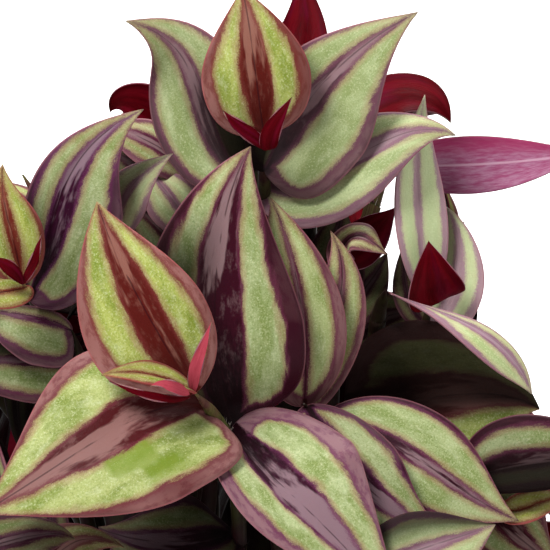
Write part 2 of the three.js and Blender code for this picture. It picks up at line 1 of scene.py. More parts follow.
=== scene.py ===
# A potted tradescantia: striped leaves on many stems, mounded over a 12 cm clay pot.
import math
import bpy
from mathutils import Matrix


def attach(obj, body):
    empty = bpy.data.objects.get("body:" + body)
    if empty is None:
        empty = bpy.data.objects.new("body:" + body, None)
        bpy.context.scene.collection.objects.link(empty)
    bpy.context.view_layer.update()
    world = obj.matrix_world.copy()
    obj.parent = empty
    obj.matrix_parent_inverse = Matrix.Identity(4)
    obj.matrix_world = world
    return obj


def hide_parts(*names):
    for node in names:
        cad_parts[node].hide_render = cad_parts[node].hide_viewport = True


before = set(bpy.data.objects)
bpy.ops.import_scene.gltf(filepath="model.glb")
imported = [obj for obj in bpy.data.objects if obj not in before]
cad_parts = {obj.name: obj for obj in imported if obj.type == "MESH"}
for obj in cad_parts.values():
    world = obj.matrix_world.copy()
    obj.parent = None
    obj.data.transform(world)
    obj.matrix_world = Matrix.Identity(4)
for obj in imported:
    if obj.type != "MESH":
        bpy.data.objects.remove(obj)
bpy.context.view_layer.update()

from types import SimpleNamespace

import bpy
import numpy as np

# ---- Driving dimensions, in millimetres, as the solids have them ----
MM = 0.001
POT_HEIGHT = 100
POT_RIM_RADIUS = 60
POT_RIM_HEIGHT = 22
POT_BODY_TOP_RADIUS = 55
POT_FOOT_RADIUS = 42.5
POT_WALL = 4.5
POT_FLOOR = 9
DRAIN_RADIUS = 5
DRAIN_RING = 22
DRAIN_HOLES = 3
SOIL_TOP = 91
STEM_RADIUS = 1.7
STEM_SUNK = 12
LEAF_THICKNESS = 0.45

# ---- The view of the front, from 15 degrees above ----
VIEW_TILT = math.radians(15)
VIEW_MIDDLE = np.array([4.0, 0.0, 185.0])
VIEW_WIDTH = 125
VIEW_DISTANCE = 6000
SENSOR_WIDTH = 36

UP = np.array([0.0, 0.0, 1.0])


def facing(direction):
    """A direction given as across to the right, up, and nearer to the eye."""
    across, up, near = direction
    return np.array([
        across,
        up * math.sin(VIEW_TILT) - near * math.cos(VIEW_TILT),
        up * math.cos(VIEW_TILT) + near * math.sin(VIEW_TILT),
    ])


def in_front(spot):
    """The place of a spot that is given as the view shows it, from the view's middle."""
    return facing(spot) + VIEW_MIDDLE


def as_seen(points):
    """Columns of across, up and near for an array of points."""
    away = points - VIEW_MIDDLE
    return np.stack([
        away[:, 0],
        away[:, 1] * math.sin(VIEW_TILT) + away[:, 2] * math.cos(VIEW_TILT),
        -away[:, 1] * math.cos(VIEW_TILT) + away[:, 2] * math.sin(VIEW_TILT),
    ], axis=1)


def unit(vector):
    return vector / np.linalg.norm(vector)


class Draws:
    """Seeded draws, the same on every run."""
    FACTOR = 16807
    LIMIT = 2147483647

    def __init__(self, seed):
        self.state = seed

    def between(self, low, high):
        self.state = (self.state * self.FACTOR) % self.LIMIT
        return low + ((high - low) * self.state) / self.LIMIT


# ---- A leaf blade ----
# Its midrib passes through four points at equal steps from root to tip. Each half leans up from
# the midrib by its fold and curls back towards the edge, and its lobe sweeps behind the root.
TIP_TAPER = 1.15
CURL = math.radians(25)
FOLD_FADE = 0.7
LOBE_END = 0.35
# The usual folds in degrees, lobes as shares of half the blade, and roundness at the root.
FOLD = (10, 10)
LOBE = (0.3, 0.3)
ROOT_ROUNDNESS = 0.7


class Leaf:
    """One blade: its midrib, the way it faces at root and tip, its half widths, folds and look."""

    def __init__(self, rib, face, half, fold, lobe, base, look):
        self.rib = np.array(rib, float)
        self.face = np.array(face, float)
        self.half = half
        self.fold = [math.radians(angle) for angle in fold]
        self.lobe = lobe
        self.base = base
        self.look = look

    def midrib(self, t):
        """The cubic curve through the four points."""
        t = np.asarray(t, float)
        weights = np.stack([
            -4.5 * (t - 1 / 3) * (t - 2 / 3) * (t - 1),
            13.5 * t * (t - 2 / 3) * (t - 1),
            -13.5 * t * (t - 1 / 3) * (t - 1),
            4.5 * t * (t - 1 / 3) * (t - 2 / 3),
        ], axis=-1)
        return weights @ self.rib

    def outline(self, t):
        """How wide the blade is at t, as a share of its widest."""
        widest = self.base / (self.base + TIP_TAPER)
        most = widest ** self.base * (1 - widest) ** TIP_TAPER
        return t ** self.base * (1 - t) ** TIP_TAPER / most

    def frames(self, t):
        """The way along the midrib, out of the upper face and to the right, at every t."""
        step = 1e-3
        along = self.midrib(np.minimum(t + step, 1)) - self.midrib(np.maximum(t - step, 0))
        along /= np.linalg.norm(along, axis=1)[:, None]
        face = self.face[0] * (1 - t)[:, None] + self.face[1] * t[:, None]
        face = face - along * np.sum(face * along, axis=1)[:, None]
        face /= np.linalg.norm(face, axis=1)[:, None]
        return along, face, np.cross(along, face)

    def surface(self, t, v):
        """Points for every t along the midrib and v across, from -1 at the left to 1."""
        t = np.asarray(t, float)
        v = np.asarray(v, float)
        along, face, side = self.frames(t)
        hand = np.where(v < 0, 0, 1)
        reach = np.abs(v)
        half = np.array(self.half)[hand][None, :] * self.outline(t)[:, None]
        fold = np.array(self.fold)[hand][None, :] * (1 - FOLD_FADE * t)[:, None]
        out = (np.sin(fold) - np.sin(fold - CURL * reach)) / CURL
        lift = (np.cos(fold - CURL * reach) - np.cos(fold)) / CURL
        swept = np.array(self.lobe)[hand][None, :] * reach * np.maximum(0, 1 - t / LOBE_END)[:, None]
        return (
            self.midrib(t)[:, None, :]
            + side[:, None, :] * (np.sign(v) * half * out)[:, :, None]
            + face[:, None, :] * (half * lift)[:, :, None]
            - along[:, None, :] * (half * swept)[:, :, None]
        )


def blade(rib, face, half, fold=FOLD, lobe=LOBE, base=ROOT_ROUNDNESS, **look):
    """A leaf placed as the view of the front shows it, lit unless its look has some dusk."""
    look = {"dusk": [0, 0], **look}
    return Leaf([in_front(p) for p in rib], [facing(f) for f in face], half, fold, lobe, base, look)


# ---- A stem's route: straight up out of the soil, then bending over to its growing end ----
class Stem:
    def __init__(self, name, handles, leaves):
        self.name = name
        self.handles = np.array(handles)
        self.leaves = leaves

    def points(self, steps):
        """Points at even steps of the curve."""
        t = np.linspace(0, 1, steps + 1)[:, None]
        p0, p1, p2, p3 = self.handles
        k = 1 - t
        return k * k * k * p0 + 3 * k * k * t * p1 + 3 * k * t * t * p2 + t * t * t * p3


def route(foot, end, aim, lead=0.35, rise=0.45):
    """The four handles of a stem's curve, from its foot in the soil to its growing end."""
    start = np.array([foot[0], foot[1], SOIL_TOP - STEM_SUNK], float)
    span = np.linalg.norm(end - start)
    return [start, start + UP * span * rise, end - unit(aim) * span * lead, end]


stems = []


def stem(name, foot, end, aim, leaves, **bend):
    """A stem of the front, with its foot in the pot and its end and aim as the view shows them."""
    stems.append(Stem(name, route(foot, in_front(end), facing(aim), **bend), leaves))


def tipped(up):
    """Facing the eye from root to tip, tipped up by this share."""
    return [[0, up, 1], [0, up, 1]]


# How a leaf looks:
#   young: yellower bands and redder stripes
#   violet: how violet the purples are, drawn where it isn't given
#   pale: painted backlight, a wash of pale mint and pink
#   centre, margin: widths of the stripes, 1 for the usual
#   deep, streaked: more wine-red in the margins and in the midrib stripe, or less below 0
#   blush: an underside from maroon at 0, over magenta at 1, to pink at 2, its rosier tones partly its own
#       colour and partly painted light
#   dusk: the depth of shade on the left and right half, turning over from dusk_from across the
#   blade, where the midrib is 0, and fading out along it by dusk_until
#   patches: greener windows, each from where to where along the blade and across it
BUD = {"young": 1.0, "centre": 0.5, "margin": 0.6}
BROAD = {"young": 0.45, "violet": 0.4, "centre": 0.9, "margin": 0.75,
         "patches": [(0.36, 0.58, -0.52, -0.25), (0.3, 0.47, -0.72, -0.54)]}
SHADED = {"dusk": [0.8, 0.8]}

# ---- The leafy stems of the front, leaf by leaf ----
stem("stem_crown", [2, 4], [-2.5, 30.5, 30], [0, 0.5, 0.85], [
    blade([[-2.5, 32, 32], [-4, 42.5, 37], [-5.5, 54, 37], [-7.5, 65, 32]],
          [[0, 0.3, 1], [0, 0.1, 1]], [12.5, 12.5], [12, 12], young=0.75, violet=0.1),
    blade([[-6, 20.5, 22], [-15.5, 34.5, 21], [-20.5, 48.5, 22], [-34, 57.5, 28]],
          [[-0.4, 0.1, 0.9], [-0.2, 0.4, 0.9]], [12.5, 12.5], [10, 20],
          violet=0.5, pale=0.15, deep=0.45, centre=0.7, margin=0.75,
          dusk=[0, 1.0], dusk_from=-0.4, dusk_until=0.7),
    blade([[-2.5, 23.5, 24], [4.5, 35, 27], [15, 47.5, 26], [32.5, 59.5, 30]],
          [[0.25, -0.2, 1], [-0.1, 0.5, 1]], [11.5, 17.5], [35, 5], lobe=[0.2, 0.9],
          violet=0.5, pale=0.15, deep=0.4, centre=0.7, margin=0.75,
          dusk=[1.0, 0], dusk_from=-0.35, dusk_until=0.65),
    blade([[-2.5, 20.5, 13], [10.5, 22, 18], [25.5, 30.5, 21], [41, 31.5, 20]],
          [[0, 0.2, 1], [0, 0.6, 1]], [11, 11], [5, 12],
          violet=0.8, pale=0.3, deep=0.45, centre=0.8, margin=0.85,
          dusk=[0.9, 0], dusk_from=-0.5, dusk_until=0.75),
    blade([[0, 25, 16], [3.5, 42, 9], [6.5, 55.5, 4], [5, 69.5, -4]],
          [[0.1, -0.2, -1], [0, 0, -1]], [7.5, 7.5], [15, 15]),
])
stem("stem_behind_right", [12, 14], [16, 33, -2], [0.4, 0.8, 0.1], [
    blade([[16, 33, 0], [25, 40, -2], [34, 40.5, 0], [40, 34.5, 2]],
          [[0.3, -0.5, -1], [0.2, -0.8, -0.6]], [6.5, 6.5], [15, 15]),
])
stem("stem_reaching", [40, 3], [27.5, 25, -6], [-0.7, 0.7, -0.2], [
    blade([[27.5, 25, -6], [42, 25, -4], [57, 26, -2], [71.5, 28, 0]],
          [[0, 0.1, -1], [0, 0.1, -1]], [6.75, 6.75], [5, 5], blush=1.0),
], lead=0.15, rise=0.6)
stem("stem_bowing", [24, -11], [25, -3.5, 19.5], [0.1, 0.3, 0.95], [
    blade([[25, -3.5, 20], [36, -8, 31], [49, -14.5, 35], [58, -27, 34]],
          [[0.1, 1, 0], [0.5, 0.4, 0.8]], [3, 7], [25, 5], base=2.4, pale=0.4, violet=1.0),
], lead=0.3, rise=0.7)
stem("stem_far_right", [38, 14], [35.5, -5.5, 10], [0.2, 0.7, 0.6], [
    blade([[34.5, -5.5, 8], [32.5, 10, 13], [32, 25, 13], [34, 41, 8]],
          [[0.3, 0, 1], [0.2, 0.2, 1]], [6, 7.5], [40, 5], pale=1.0, violet=0.8, centre=0.55),
    blade([[37, -6.3, 11], [36.2, -1.8, 16], [35.4, 3.2, 18], [34.8, 7.8, 17]],
          [[0, -0.4, -1], [0, -0.2, -1]], [6.8, 6.8], lobe=[0, 0], base=0.2),
    blade([[34.5, -10.5, 5.5], [40, -6, 4.5], [42, 4.5, 6], [39, 15.5, 4]],
          [[-0.3, 0.1, 1], [-0.4, 0.2, 1]], [6.5, 6.5], [15, 5], pale=1.0, violet=0.8, margin=1.2),
    blade([[34.5, -11.5, 5], [31, -7, 5.5], [29.3, -0.5, 5.5], [29.5, 8, 3.5]],
          [[0.3, 0.1, 1], [0.3, 0.1, 1]], [3.5, 3.5], [15, 15], **SHADED),
])
stem("stem_shaded", [26, -22], [16, -29.5, 16], [0.4, 0.5, 0.6], [
    blade([[16, -29.5, 14], [30.5, -28.5, 16], [46.5, -27, 15], [60, -30.5, 8]],
          tipped(0.3), [20, 20], [5, 20], young=0.6, dusk=[0.97, 0.2], dusk_from=0.1),
])
stem("stem_heart", [-6, -34], [-18, -26.5, 76], [-0.4, 0.38, 0.83], [
    blade([[-18, -26.5, 70], [-26, -13.5, 78], [-34, 1.5, 78], [-40, 16.5, 72]],
          [[0.2, 0.1, 1], [0, 0.3, 1]], [16, 13.5], [12, 12], lobe=[-0.35, 0.3],
          young=0.8, deep=-0.15, streaked=0.07),
    blade([[-17, -29, 66], [-30.5, -32, 74], [-46, -41, 78], [-66.5, -54, 76]],
          [[0, 0.5, 1], [0, 0.3, 1]], [22.5, 21.5], [20, 5], lobe=[1.0, 0.3], **BROAD),
    blade([[-18, -26.5, 76], [-24.5, -23.5, 80], [-31.5, -22, 82], [-39, -22.5, 82]],
          [[-0.2, 0.8, 0.8], [0, 0.6, 0.8]], [4.5, 4.5], [50, 20], **BUD),
    blade([[-9.5, -34, 52], [-13.5, -13.5, 62], [-12, 10, 60], [-5.5, 29, 50]],
          [[0.2, 0.2, 1], [0.3, 0.3, 1]], [19, 21.5], [25, 10], lobe=[0.3, 0.5], base=0.5,
          violet=0.4, deep=0.9, streaked=0.05, centre=1.12,
          dusk=[0.95, 0], dusk_from=-0.4, dusk_until=0.8),
    blade([[-10, -35, 60], [0, -46, 70], [11.5, -57, 74], [29.5, -76.5, 72]],
          [[0.2, 0.4, 1], [0.2, 0.1, 1]], [20.5, 14.5], [5, 50], lobe=[0.9, 0.3],
          violet=0.8, deep=-0.3, streaked=-0.05),
    blade([[-9.5, -58, 29], [-18, -60, 38], [-29, -60, 40], [-40, -57, 36]],
          tipped(0.3), [12, 12], **SHADED),
])
stem("stem_right_front", [14, -32], [6.5, -29, 50], [-0.2, 0.3, 0.9], [
    blade([[6.5, -29.5, 40], [6.5, -13.5, 48], [4, 2.5, 48], [-1, 17.5, 42]],
          [[0.3, 0.1, 1], [0.2, 0.2, 1]], [11, 10], [10, 20],
          young=0.2, violet=0.6, centre=0.4, margin=1.2, deep=0.3, dusk=[0.12, 0.12]),
    blade([[8, -31, 35], [11.5, -16, 40], [15, -3, 41], [12.5, 10, 36]],
          [[0.3, 0.1, 1], [0.2, 0.2, 1]], [7.5, 7.5], [10, 20],
          young=0.2, violet=0.6, centre=0.7, dusk=[0.15, 0.2]),
    blade([[7, -29.5, 48], [15.5, -42, 57], [25.5, -52, 60], [39, -60, 58]],
          [[0.2, 0.5, 1], [0.1, 0.3, 1]], [12, 10], violet=0.8, deep=0.7, margin=0.75, dusk=[0.25, 0.25]),
    blade([[11, -32, 38], [28, -39, 47], [41.5, -48, 50], [55, -55.5, 48]],
          [[0.2, 0.5, 1], [0.1, 0.3, 1]], [13, 11],
          violet=0.6, deep=0.8, centre=0.6, margin=0.6, dusk=[0.12, 0.12]),
])
stem("stem_cup", [18, -2], [15, 1.5, 13], [0.1, 0.8, 0.5], [
    blade([[13.5, 1, 12], [17, 8, 14], [21, 8, 16], [25.5, 4.5, 14]],
          [[0, 0.7, 0.7], [0, 0.7, 0.7]], [5, 5], [15, 15]),
    blade([[14.5, 2, 11], [19, 6.5, 9], [23, 10.5, 8], [27.5, 15.5, 5]],
          [[0.2, -0.3, -1], [0, -0.3, -1]], [5.5, 5.5]),
    blade([[14, -7, 8], [13.5, 0, 6], [14, 8, 4], [16, 16, 0]],
          tipped(0.2), [7, 7], **SHADED),
    blade([[13.5, -17, 3], [20, -12, -3], [27, -9, -4], [35, -8, -6]],
          tipped(0.2), [8, 8], **SHADED),
    blade([[13.8, -11, 5.5], [18, -6, 5], [22, -1, 3], [25.5, 5, -1]],
          tipped(0.2), [6, 6], **SHADED),
])
stem("stem_low_right", [34, -34], [52.5, -52.5, 40], [0.6, -0.55, 0.4], [
    blade([[43, -47, 33.5], [54, -43, 38], [68, -41, 38], [83, -37.5, 34]],
          tipped(0.3), [12, 9.5], [10, 60], violet=0.5, deep=0.8, dusk=[0.4, 1.0], dusk_from=-0.45),
    blade([[50.5, -52, 36.5], [55.5, -53, 38], [61.5, -51, 38], [68, -52.5, 36]],
          [[0, 0.6, 0.8], [0, 0.6, 0.8]], [4, 4], [40, 10], **BUD),
])
stem("stem_low_front", [14, -44], [18, -67.5, 62], [0.2, 0.3, 0.9], [
    blade([[19, -67, 62], [29, -63, 67.5], [39.5, -59.5, 68], [49.6, -56.2, 65]],
          tipped(0.4), [10, 12], violet=0.8, pale=0.25, centre=0.55, dusk=[0.9, 0.1], dusk_from=-0.6),
])
stem("stem_left", [-26, -24], [-57, -2, 46], [0, -0.1, 1], [
    blade([[-57, -2, 44], [-59, 7.5, 48], [-61, 16, 48], [-61.5, 25, 44]],
          [[0.1, 0.1, 1], [0.2, 0.2, 1]], [7, 7.5], young=0.9, centre=0.65, margin=0.6),
    blade([[-56, -2.5, 44], [-59, -3.5, 46], [-66, -4.5, 46], [-74, -5.5, 44]],
          tipped(0.3), [4, 4], **BUD),
    blade([[-56, -5, 31], [-50.5, 11, 40], [-44.5, 25.5, 40], [-29.5, 37.5, 38]],
          [[0.4, 0, 1], [-0.1, 0.5, 1]], [8.5, 16], [50, 5], lobe=[0.2, 1.3],
          violet=1.0, centre=0.9, deep=0.3, dusk=[0.85, 0], dusk_from=-0.8, dusk_until=0.6),
], lead=0.6)
stem("stem_left_low", [-28, -34], [-46, -12.5, 24], [-0.3, 0.8, 0.4], [
    blade([[-46, -12.5, 23.5], [-52, -10, 27], [-60, -8.5, 27.5], [-69, -7.5, 24]],
          tipped(0.3), [11, 2.5], lobe=[0.9, 0.3], violet=0.8, centre=0.5, dusk=[0, 0.5], dusk_from=0.1),
    blade([[-42, -22, 21], [-53, -19.5, 22], [-66, -19, 23], [-83, -20, 20]],
          tipped(0.3), [10, 5], lobe=[0.9, 0.3], violet=0.6, centre=0.6, dusk=[0.2, 0.95]),
])
stem("stem_behind_left", [-14, 6], [-20.5, 30, 1], [-0.1, 0.9, -0.3], [
    blade([[-20.5, 30, 0], [-26, 36, 2], [-33, 39.5, 2], [-37.5, 37, -2]],
          [[0, 0.3, -1], [0, 0.3, -1]], [6, 6]),
    blade([[-19.5, 22.5, 6], [-26, 28.5, 12], [-33, 32, 12], [-38, 32.5, 10]],
          tipped(0.5), [6, 6]),
    blade([[-19, 10, 6], [-22.5, 16, 12], [-26, 20.5, 12], [-29.5, 25, 10]],
          tipped(0.4), [6.5, 6.5], violet=0.6, pale=0.3, centre=0.6, dusk=[0.1, 0.1]),
    blade([[-19, 15, 4], [-25, 20.5, 6], [-32, 25, 6], [-39, 29, 3]],
          tipped(0.3), [7.5, 7.5], **SHADED),
    blade([[-18.5, 4, 4.5], [-24, 9.5, 6], [-29, 14, 6], [-35, 18, 3]],
          tipped(0.3), [7.5, 7.5], **SHADED),
])
stem("stem_inner_left", [-20, -10], [-35.5, 8, 27], [-0.2, 0.8, 0.5], [
    blade([[-35.5, 8, 26], [-34.5, 16, 30], [-30.5, 22, 30], [-23, 27.5, 28]],
          [[0.1, 0.3, 1], [0, 0.5, 1]], [5.5, 5.5], [15, 15],
          violet=0.6, pale=0.5, centre=0.6, dusk=[0.5, 0]),
])
stem("stem_low_left", [-24, -42], [-76, -65, 62], [-0.7, 0.1, 0.7], [
    blade([[-76, -65, 62], [-65, -61.5, 66], [-53.5, -58.5, 66], [-45, -59.5, 62]],
          tipped(0.5), [7.5, 7.5], dusk=[0.6, 0.6], violet=0.6),
    blade([[-57, -70, 46], [-51, -65, 54], [-44.5, -60, 54], [-34, -61.5, 50]],
          tipped(0.5), [7.5, 7.5], dusk=[0.6, 0.4], young=0.4),
])

# ---- Room: what a new stem or leaf has to keep clear of ----
SAMPLES_ALONG = 12
SAMPLES_ACROSS = 7
SAMPLE_T = (np.arange(SAMPLES_ALONG) + 0.4) / (SAMPLES_ALONG - 0.6)
SAMPLE_V = 2 * np.arange(SAMPLES_ACROSS) / (SAMPLES_ACROSS - 1) - 1
CURVE_SAMPLES = 40
LEAF_ROOM = 3.2
STEM_ROOM_LEAF = 3.6
STEM_ROOM_STEM = 4.6
STEM_ROOM_FOOT = 6


def leaf_samples(one):
    return one.surface(SAMPLE_T, SAMPLE_V).reshape(-1, 3)


class Clouds:
    """Sets of points that keep other things at a distance, each with its owner's number."""

    def __init__(self):
        self.owners = []
        self.sets = []
        self.lows = []
        self.highs = []

    def add(self, owner, points):
        self.owners.append(owner)
        self.sets.append(points)
        self.lows.append(points.min(0))
        self.highs.append(points.max(0))

    def apart(self, points, distance, skip=None, only=None):
        """True where every point keeps that distance from all sets but the skipped owner's."""
        if not self.sets:
            return True
        owners = np.array(self.owners)
        close = np.all(np.array(self.lows) <= points.max(0) + distance, axis=1)
        close &= np.all(np.array(self.highs) >= points.min(0) - distance, axis=1)
        if skip is not None:
            close &= owners != skip
        if only is not None:
            close &= owners == only
        near = np.nonzero(close)[0]
        if len(near) == 0:
            return True
        others = np.concatenate([self.sets[i] for i in near])
        gaps = ((points[:, None, :] - others[None, :, :]) ** 2).sum(2)
        return bool(np.all(gaps > distance * distance))


# The outline that the foliage has from the front, as [across, highest point].
SKYLINE = np.array([
    [-200, 20], [-62, 24], [-48, 22], [-44, 33], [-37, 36], [-34, 42], [-28, 44], [-27, 50], [-16, 54],
    [-14, 66], [9, 66], [12, 60], [25, 50], [33, 45], [39, 38], [41, 18], [46, 8], [47, -6], [51, -14],
    [57, -20], [59, -30], [200, -34],
])
# A small window in it stays open.
WINDOW_LEFT, WINDOW_RIGHT = 23.5, 31
WINDOW_BOTTOM, WINDOW_TOP = -3.5, 20


def under_skyline(seen):
    """True where no point stands out over the foliage's outline or in its window."""
    across, up = seen[:, 0], seen[:, 1]
    top = np.interp(across, SKYLINE[:, 0], SKYLINE[:, 1])
    open_here = (
        (across > WINDOW_LEFT) & (across < WINDOW_RIGHT) & (up > WINDOW_BOTTOM) & (up < WINDOW_TOP)
    )
    return bool(np.all((up < top) & ~open_here))


# What comes this near to a leaf of the front, as it is seen, stays this far behind it.
COVER = 4.5
BEHIND = 1
front_seen = as_seen(np.concatenate([leaf_samples(one) for s in stems for one in s.leaves]))


def behind_front(seen):
    """True where no point hides a front leaf from the eye."""
    close = (
        (front_seen[:, 2] - BEHIND < seen[:, 2].max())
        & np.all(front_seen[:, :2] < seen[:, :2].max(0) + COVER, axis=1)
        & np.all(front_seen[:, :2] > seen[:, :2].min(0) - COVER, axis=1)
    )
    others = front_seen[close]
    if len(others) == 0:
        return True
    gaps = np.hypot(
        seen[:, None, 0] - others[None, :, 0],
        seen[:, None, 1] - others[None, :, 1],
    )
    return bool(np.all((seen[:, None, 2] <= others[None, :, 2] - BEHIND) | (gaps >= COVER)))


# Leaves keep this far out from the pot, above its rim and above the ground. Stems cross the rim well
# above it.
POT_ROOM = 4
RIM_ROOM = 3
GROUND_ROOM = 8
RIM_CROSSING = 5
RIM_ZONE = (47, 66)


def clear_of_pot(points):
    out = np.hypot(points[:, 0], points[:, 1])
    low = (points[:, 2] < POT_HEIGHT + RIM_ROOM) & (out < POT_RIM_RADIUS + POT_ROOM)
    return bool(np.all(~low & (points[:, 2] > GROUND_ROOM)))


def over_rim(points):
    out = np.hypot(points[:, 0], points[:, 1])
    inner, outer = RIM_ZONE
    return bool(np.all((points[:, 2] > POT_HEIGHT + RIM_CROSSING) | (out < inner) | (out > outer)))


# ---- The rest of the foliage: stems spread evenly over a mound, then leaves from the tips down ----
MOUND_MIDDLE = np.array([0.0, 4.0, 150.0])
MOUND_SIZE = np.array([94.0, 94.0, 84.0])
MOUND_LOWEST = -0.5
STEM_COUNT = 43
STEM_TRIES = 60
LEAF_ROUNDS = 8
LEAF_TRIES = 34
GOLDEN_TURN = 2.39996
DEPTHS = [1, 0.9, 0.8, 0.68, 0.56]
LEANS = [1.08, 0.8, 0.5, 0.3, 0.15, 0.05, 0]
# Stems stand from this far out to this much further, the lower their ends the further.
FOOT_INNER = 8
FOOT_SPREAD = 34
# Stems that end this low hang over the rim: they rise higher first, and their ends point down.
HANGS_BELOW = -0.05
HANGING_RISE = 0.8
HANGING_AIM = -0.6
STANDING_AIM = 0.3
# Leaves stand this far apart at the growing end, and further apart lower down. They take turns at
# the stem's two sides, which creep round it.
NODE_STEP = 10
LOWEST_NODE = SOIL_TOP + 12
LEAF_TURN = math.pi + 0.25
LEAF_LENGTH = 58
BUD_SIZE = 0.5
GROWTH = 0.18
BUD_FOLD = 28
RULE_LOBE = (0.35, 0.35)
# Each further try for a leaf is looser in its aim, and shorter.
LOOSENING = 0.04
SHORTENING = 0.018
# The rows of samples nearest the root, where leaves of one stem may touch.
ROOT_ROWS = 3

draws = Draws(7)
leaf_clouds = Clouds()
stem_clouds = Clouds()
outer_halves = Clouds()
for number, one_stem in enumerate(stems):
    stem_clouds.add(number, one_stem.points(CURVE_SAMPLES))
    for one_leaf in one_stem.leaves:
        leaf_clouds.add(number, leaf_samples(one_leaf))


def draw_route(number, attempt):
    """A route to a point of the mound, shorter after a few tries. Low ends hang over the rim."""
    rise = 1 - ((1 - MOUND_LOWEST) * (number + 0.5)) / STEM_COUNT
    level = math.sqrt(1 - rise * rise)
    turn = GOLDEN_TURN * number + draws.between(-0.3, 0.3)
    way = np.array([math.cos(turn) * level, math.sin(turn) * level, rise])
    depth = DEPTHS[(attempt * len(DEPTHS)) // STEM_TRIES] * draws.between(0.95, 1.05)
    end = way * MOUND_SIZE * depth + MOUND_MIDDLE
    foot_turn = turn + draws.between(-0.6, 0.6)
    foot_out = (FOOT_INNER + FOOT_SPREAD * level) * draws.between(0.7, 1.05)
    hangs = rise < HANGS_BELOW
    foot = [math.cos(foot_turn) * foot_out, math.sin(foot_turn) * foot_out]
    lead = draws.between(0.25, 0.4)
    handle = HANGING_RISE if hangs else draws.between(0.35, 0.5)
    aim = way + UP * (HANGING_AIM if hangs else STANDING_AIM)
    return route(foot, end, aim, lead=lead, rise=handle)


def grow_stem(number):
    """Adds a stem along the first drawn route that has room."""
    feet = np.array([points[0] for points in stem_clouds.sets])
    for attempt in range(STEM_TRIES):
        grown = Stem(f"stem_{number + 1}", draw_route(number, attempt), [])
        points = grown.points(CURVE_SAMPLES)
        seen = as_seen(points)
        fits = (
            over_rim(points)
            and np.all(np.linalg.norm(feet - points[0], axis=1) > STEM_ROOM_FOOT)
            and under_skyline(seen)
            and behind_front(seen)
            and leaf_clouds.apart(points[points[:, 2] > SOIL_TOP + 3], STEM_ROOM_LEAF)
            and stem_clouds.apart(points, STEM_ROOM_STEM)
        )
        if fits:
            stem_clouds.add(len(stems), points)
            grown.spin = draws.between(0, math.pi)
            stems.append(grown)
            return


def node_on(points, back):
    """A point and direction on a stem, at a distance back from its growing end."""
    left = back
    for i in range(len(points) - 1, 0, -1):
        axis = points[i] - points[i - 1]
        size = np.linalg.norm(axis)
        if left <= size:
            return points[i] - axis * (left / size), axis / size
        left -= size
    return None


def draw_leaf(root, axis, spin, order, attempt):
    """A leaf at a node, on the other side from the last one and lying flatter down the stem."""
    loose = 0.15 + LOOSENING * attempt
    lean = LEANS[min(order, len(LEANS) - 1)] + draws.between(-loose, loose)
    swing = spin + LEAF_TURN * order + draws.between(-2 * loose, 2 * loose)
    grown = min(1, BUD_SIZE + GROWTH * order)
    size = (LEAF_LENGTH + draws.between(-6, 6)) * grown * (1 - SHORTENING * attempt)
    square = UP if abs(axis[2]) < 0.9 else np.array([1.0, 0.0, 0.0])
    cross = unit(np.cross(square, axis))
    side = cross * math.cos(swing) + np.cross(axis, cross) * math.sin(swing)
    ahead = side * math.cos(lean) + axis * math.sin(lean)
    face = axis * math.cos(lean) - side * math.sin(lean)
    droop = draws.between(0.02, 0.18)

    def at(out, lift, fall):
        return root + ahead * out * size + face * lift * size - UP * fall * droop * size

    rib = [root, at(0.34, 0.05, 0), at(0.67, 0.03, 0.4), at(0.97, -0.06, 1)]
    half = (size * draws.between(0.46, 0.56)) / 2
    closed = BUD_FOLD if order == 0 else 0
    fold = [closed + draws.between(8, 26), closed + draws.between(8, 26)]
    look = {"young": max(0.0, 1 - grown) * 1.6}
    return Leaf(rib, [face, face + ahead * 0.25], [half, half], fold, RULE_LOBE, ROOT_ROUNDNESS, look)


def grow_leaf(owner, order):
    """Adds the first drawn leaf that has room at this node of a stem, counted from its growing end."""
    grown = stems[owner]
    node = node_on(grown.points(CURVE_SAMPLES), NODE_STEP * order + order * (order - 1))
    if node is None or node[0][2] < LOWEST_NODE:
        return
    for attempt in range(LEAF_TRIES):
        one = draw_leaf(*node, grown.spin, order, attempt)
        samples = leaf_samples(one)
        seen = as_seen(samples)
        outer = samples[ROOT_ROWS * SAMPLES_ACROSS:]
        fits = (
            under_skyline(seen)
            and clear_of_pot(samples)
            and behind_front(seen)
            and leaf_clouds.apart(samples, LEAF_ROOM, skip=owner)
            and outer_halves.apart(outer, LEAF_ROOM, only=owner)
            and stem_clouds.apart(samples[SAMPLES_ACROSS:], STEM_ROOM_LEAF, skip=owner)
        )
        if fits:
            leaf_clouds.add(owner, samples)
            outer_halves.add(owner, outer)
            grown.leaves.append(one)
            return


front_count = len(stems)
for number in range(STEM_COUNT):
    grow_stem(number)
for order in range(LEAF_ROUNDS):
    for owner in range(front_count, len(stems)):
        grow_leaf(owner, order)


# ---- Building: helpers for making pieces as by hand ----
def deselect():
    bpy.ops.object.select_all(action="DESELECT")


def select_only(*objects):
    deselect()
    for one in objects:
        one.select_set(True)
    bpy.context.view_layer.objects.active = objects[0]


def edit_all():
    bpy.ops.object.mode_set(mode="EDIT")
    bpy.ops.mesh.select_all(action="SELECT")


def leave_edit():
    bpy.ops.object.mode_set(mode="OBJECT")


def rename(name):
    made = bpy.context.object
    made.name = name
    made.data.name = name
    return made


def copy_of(source, name):
    made = source.copy()
    made.data = source.data.copy()
    made.name = name
    bpy.context.collection.objects.link(made)
    return made


def apply_modifiers(piece):
    select_only(piece)
    for modifier in list(piece.modifiers):
        bpy.ops.object.modifier_apply(modifier=modifier.name)


def join(pieces, name):
    select_only(*pieces)
    bpy.ops.object.join()
    return rename(name)


def points_of(piece):
    """The piece's vertices in millimetres."""
    flat = np.empty(len(piece.data.vertices) * 3, np.float32)
    piece.data.vertices.foreach_get("co", flat)
    return flat.reshape(-1, 3).astype(float) / MM


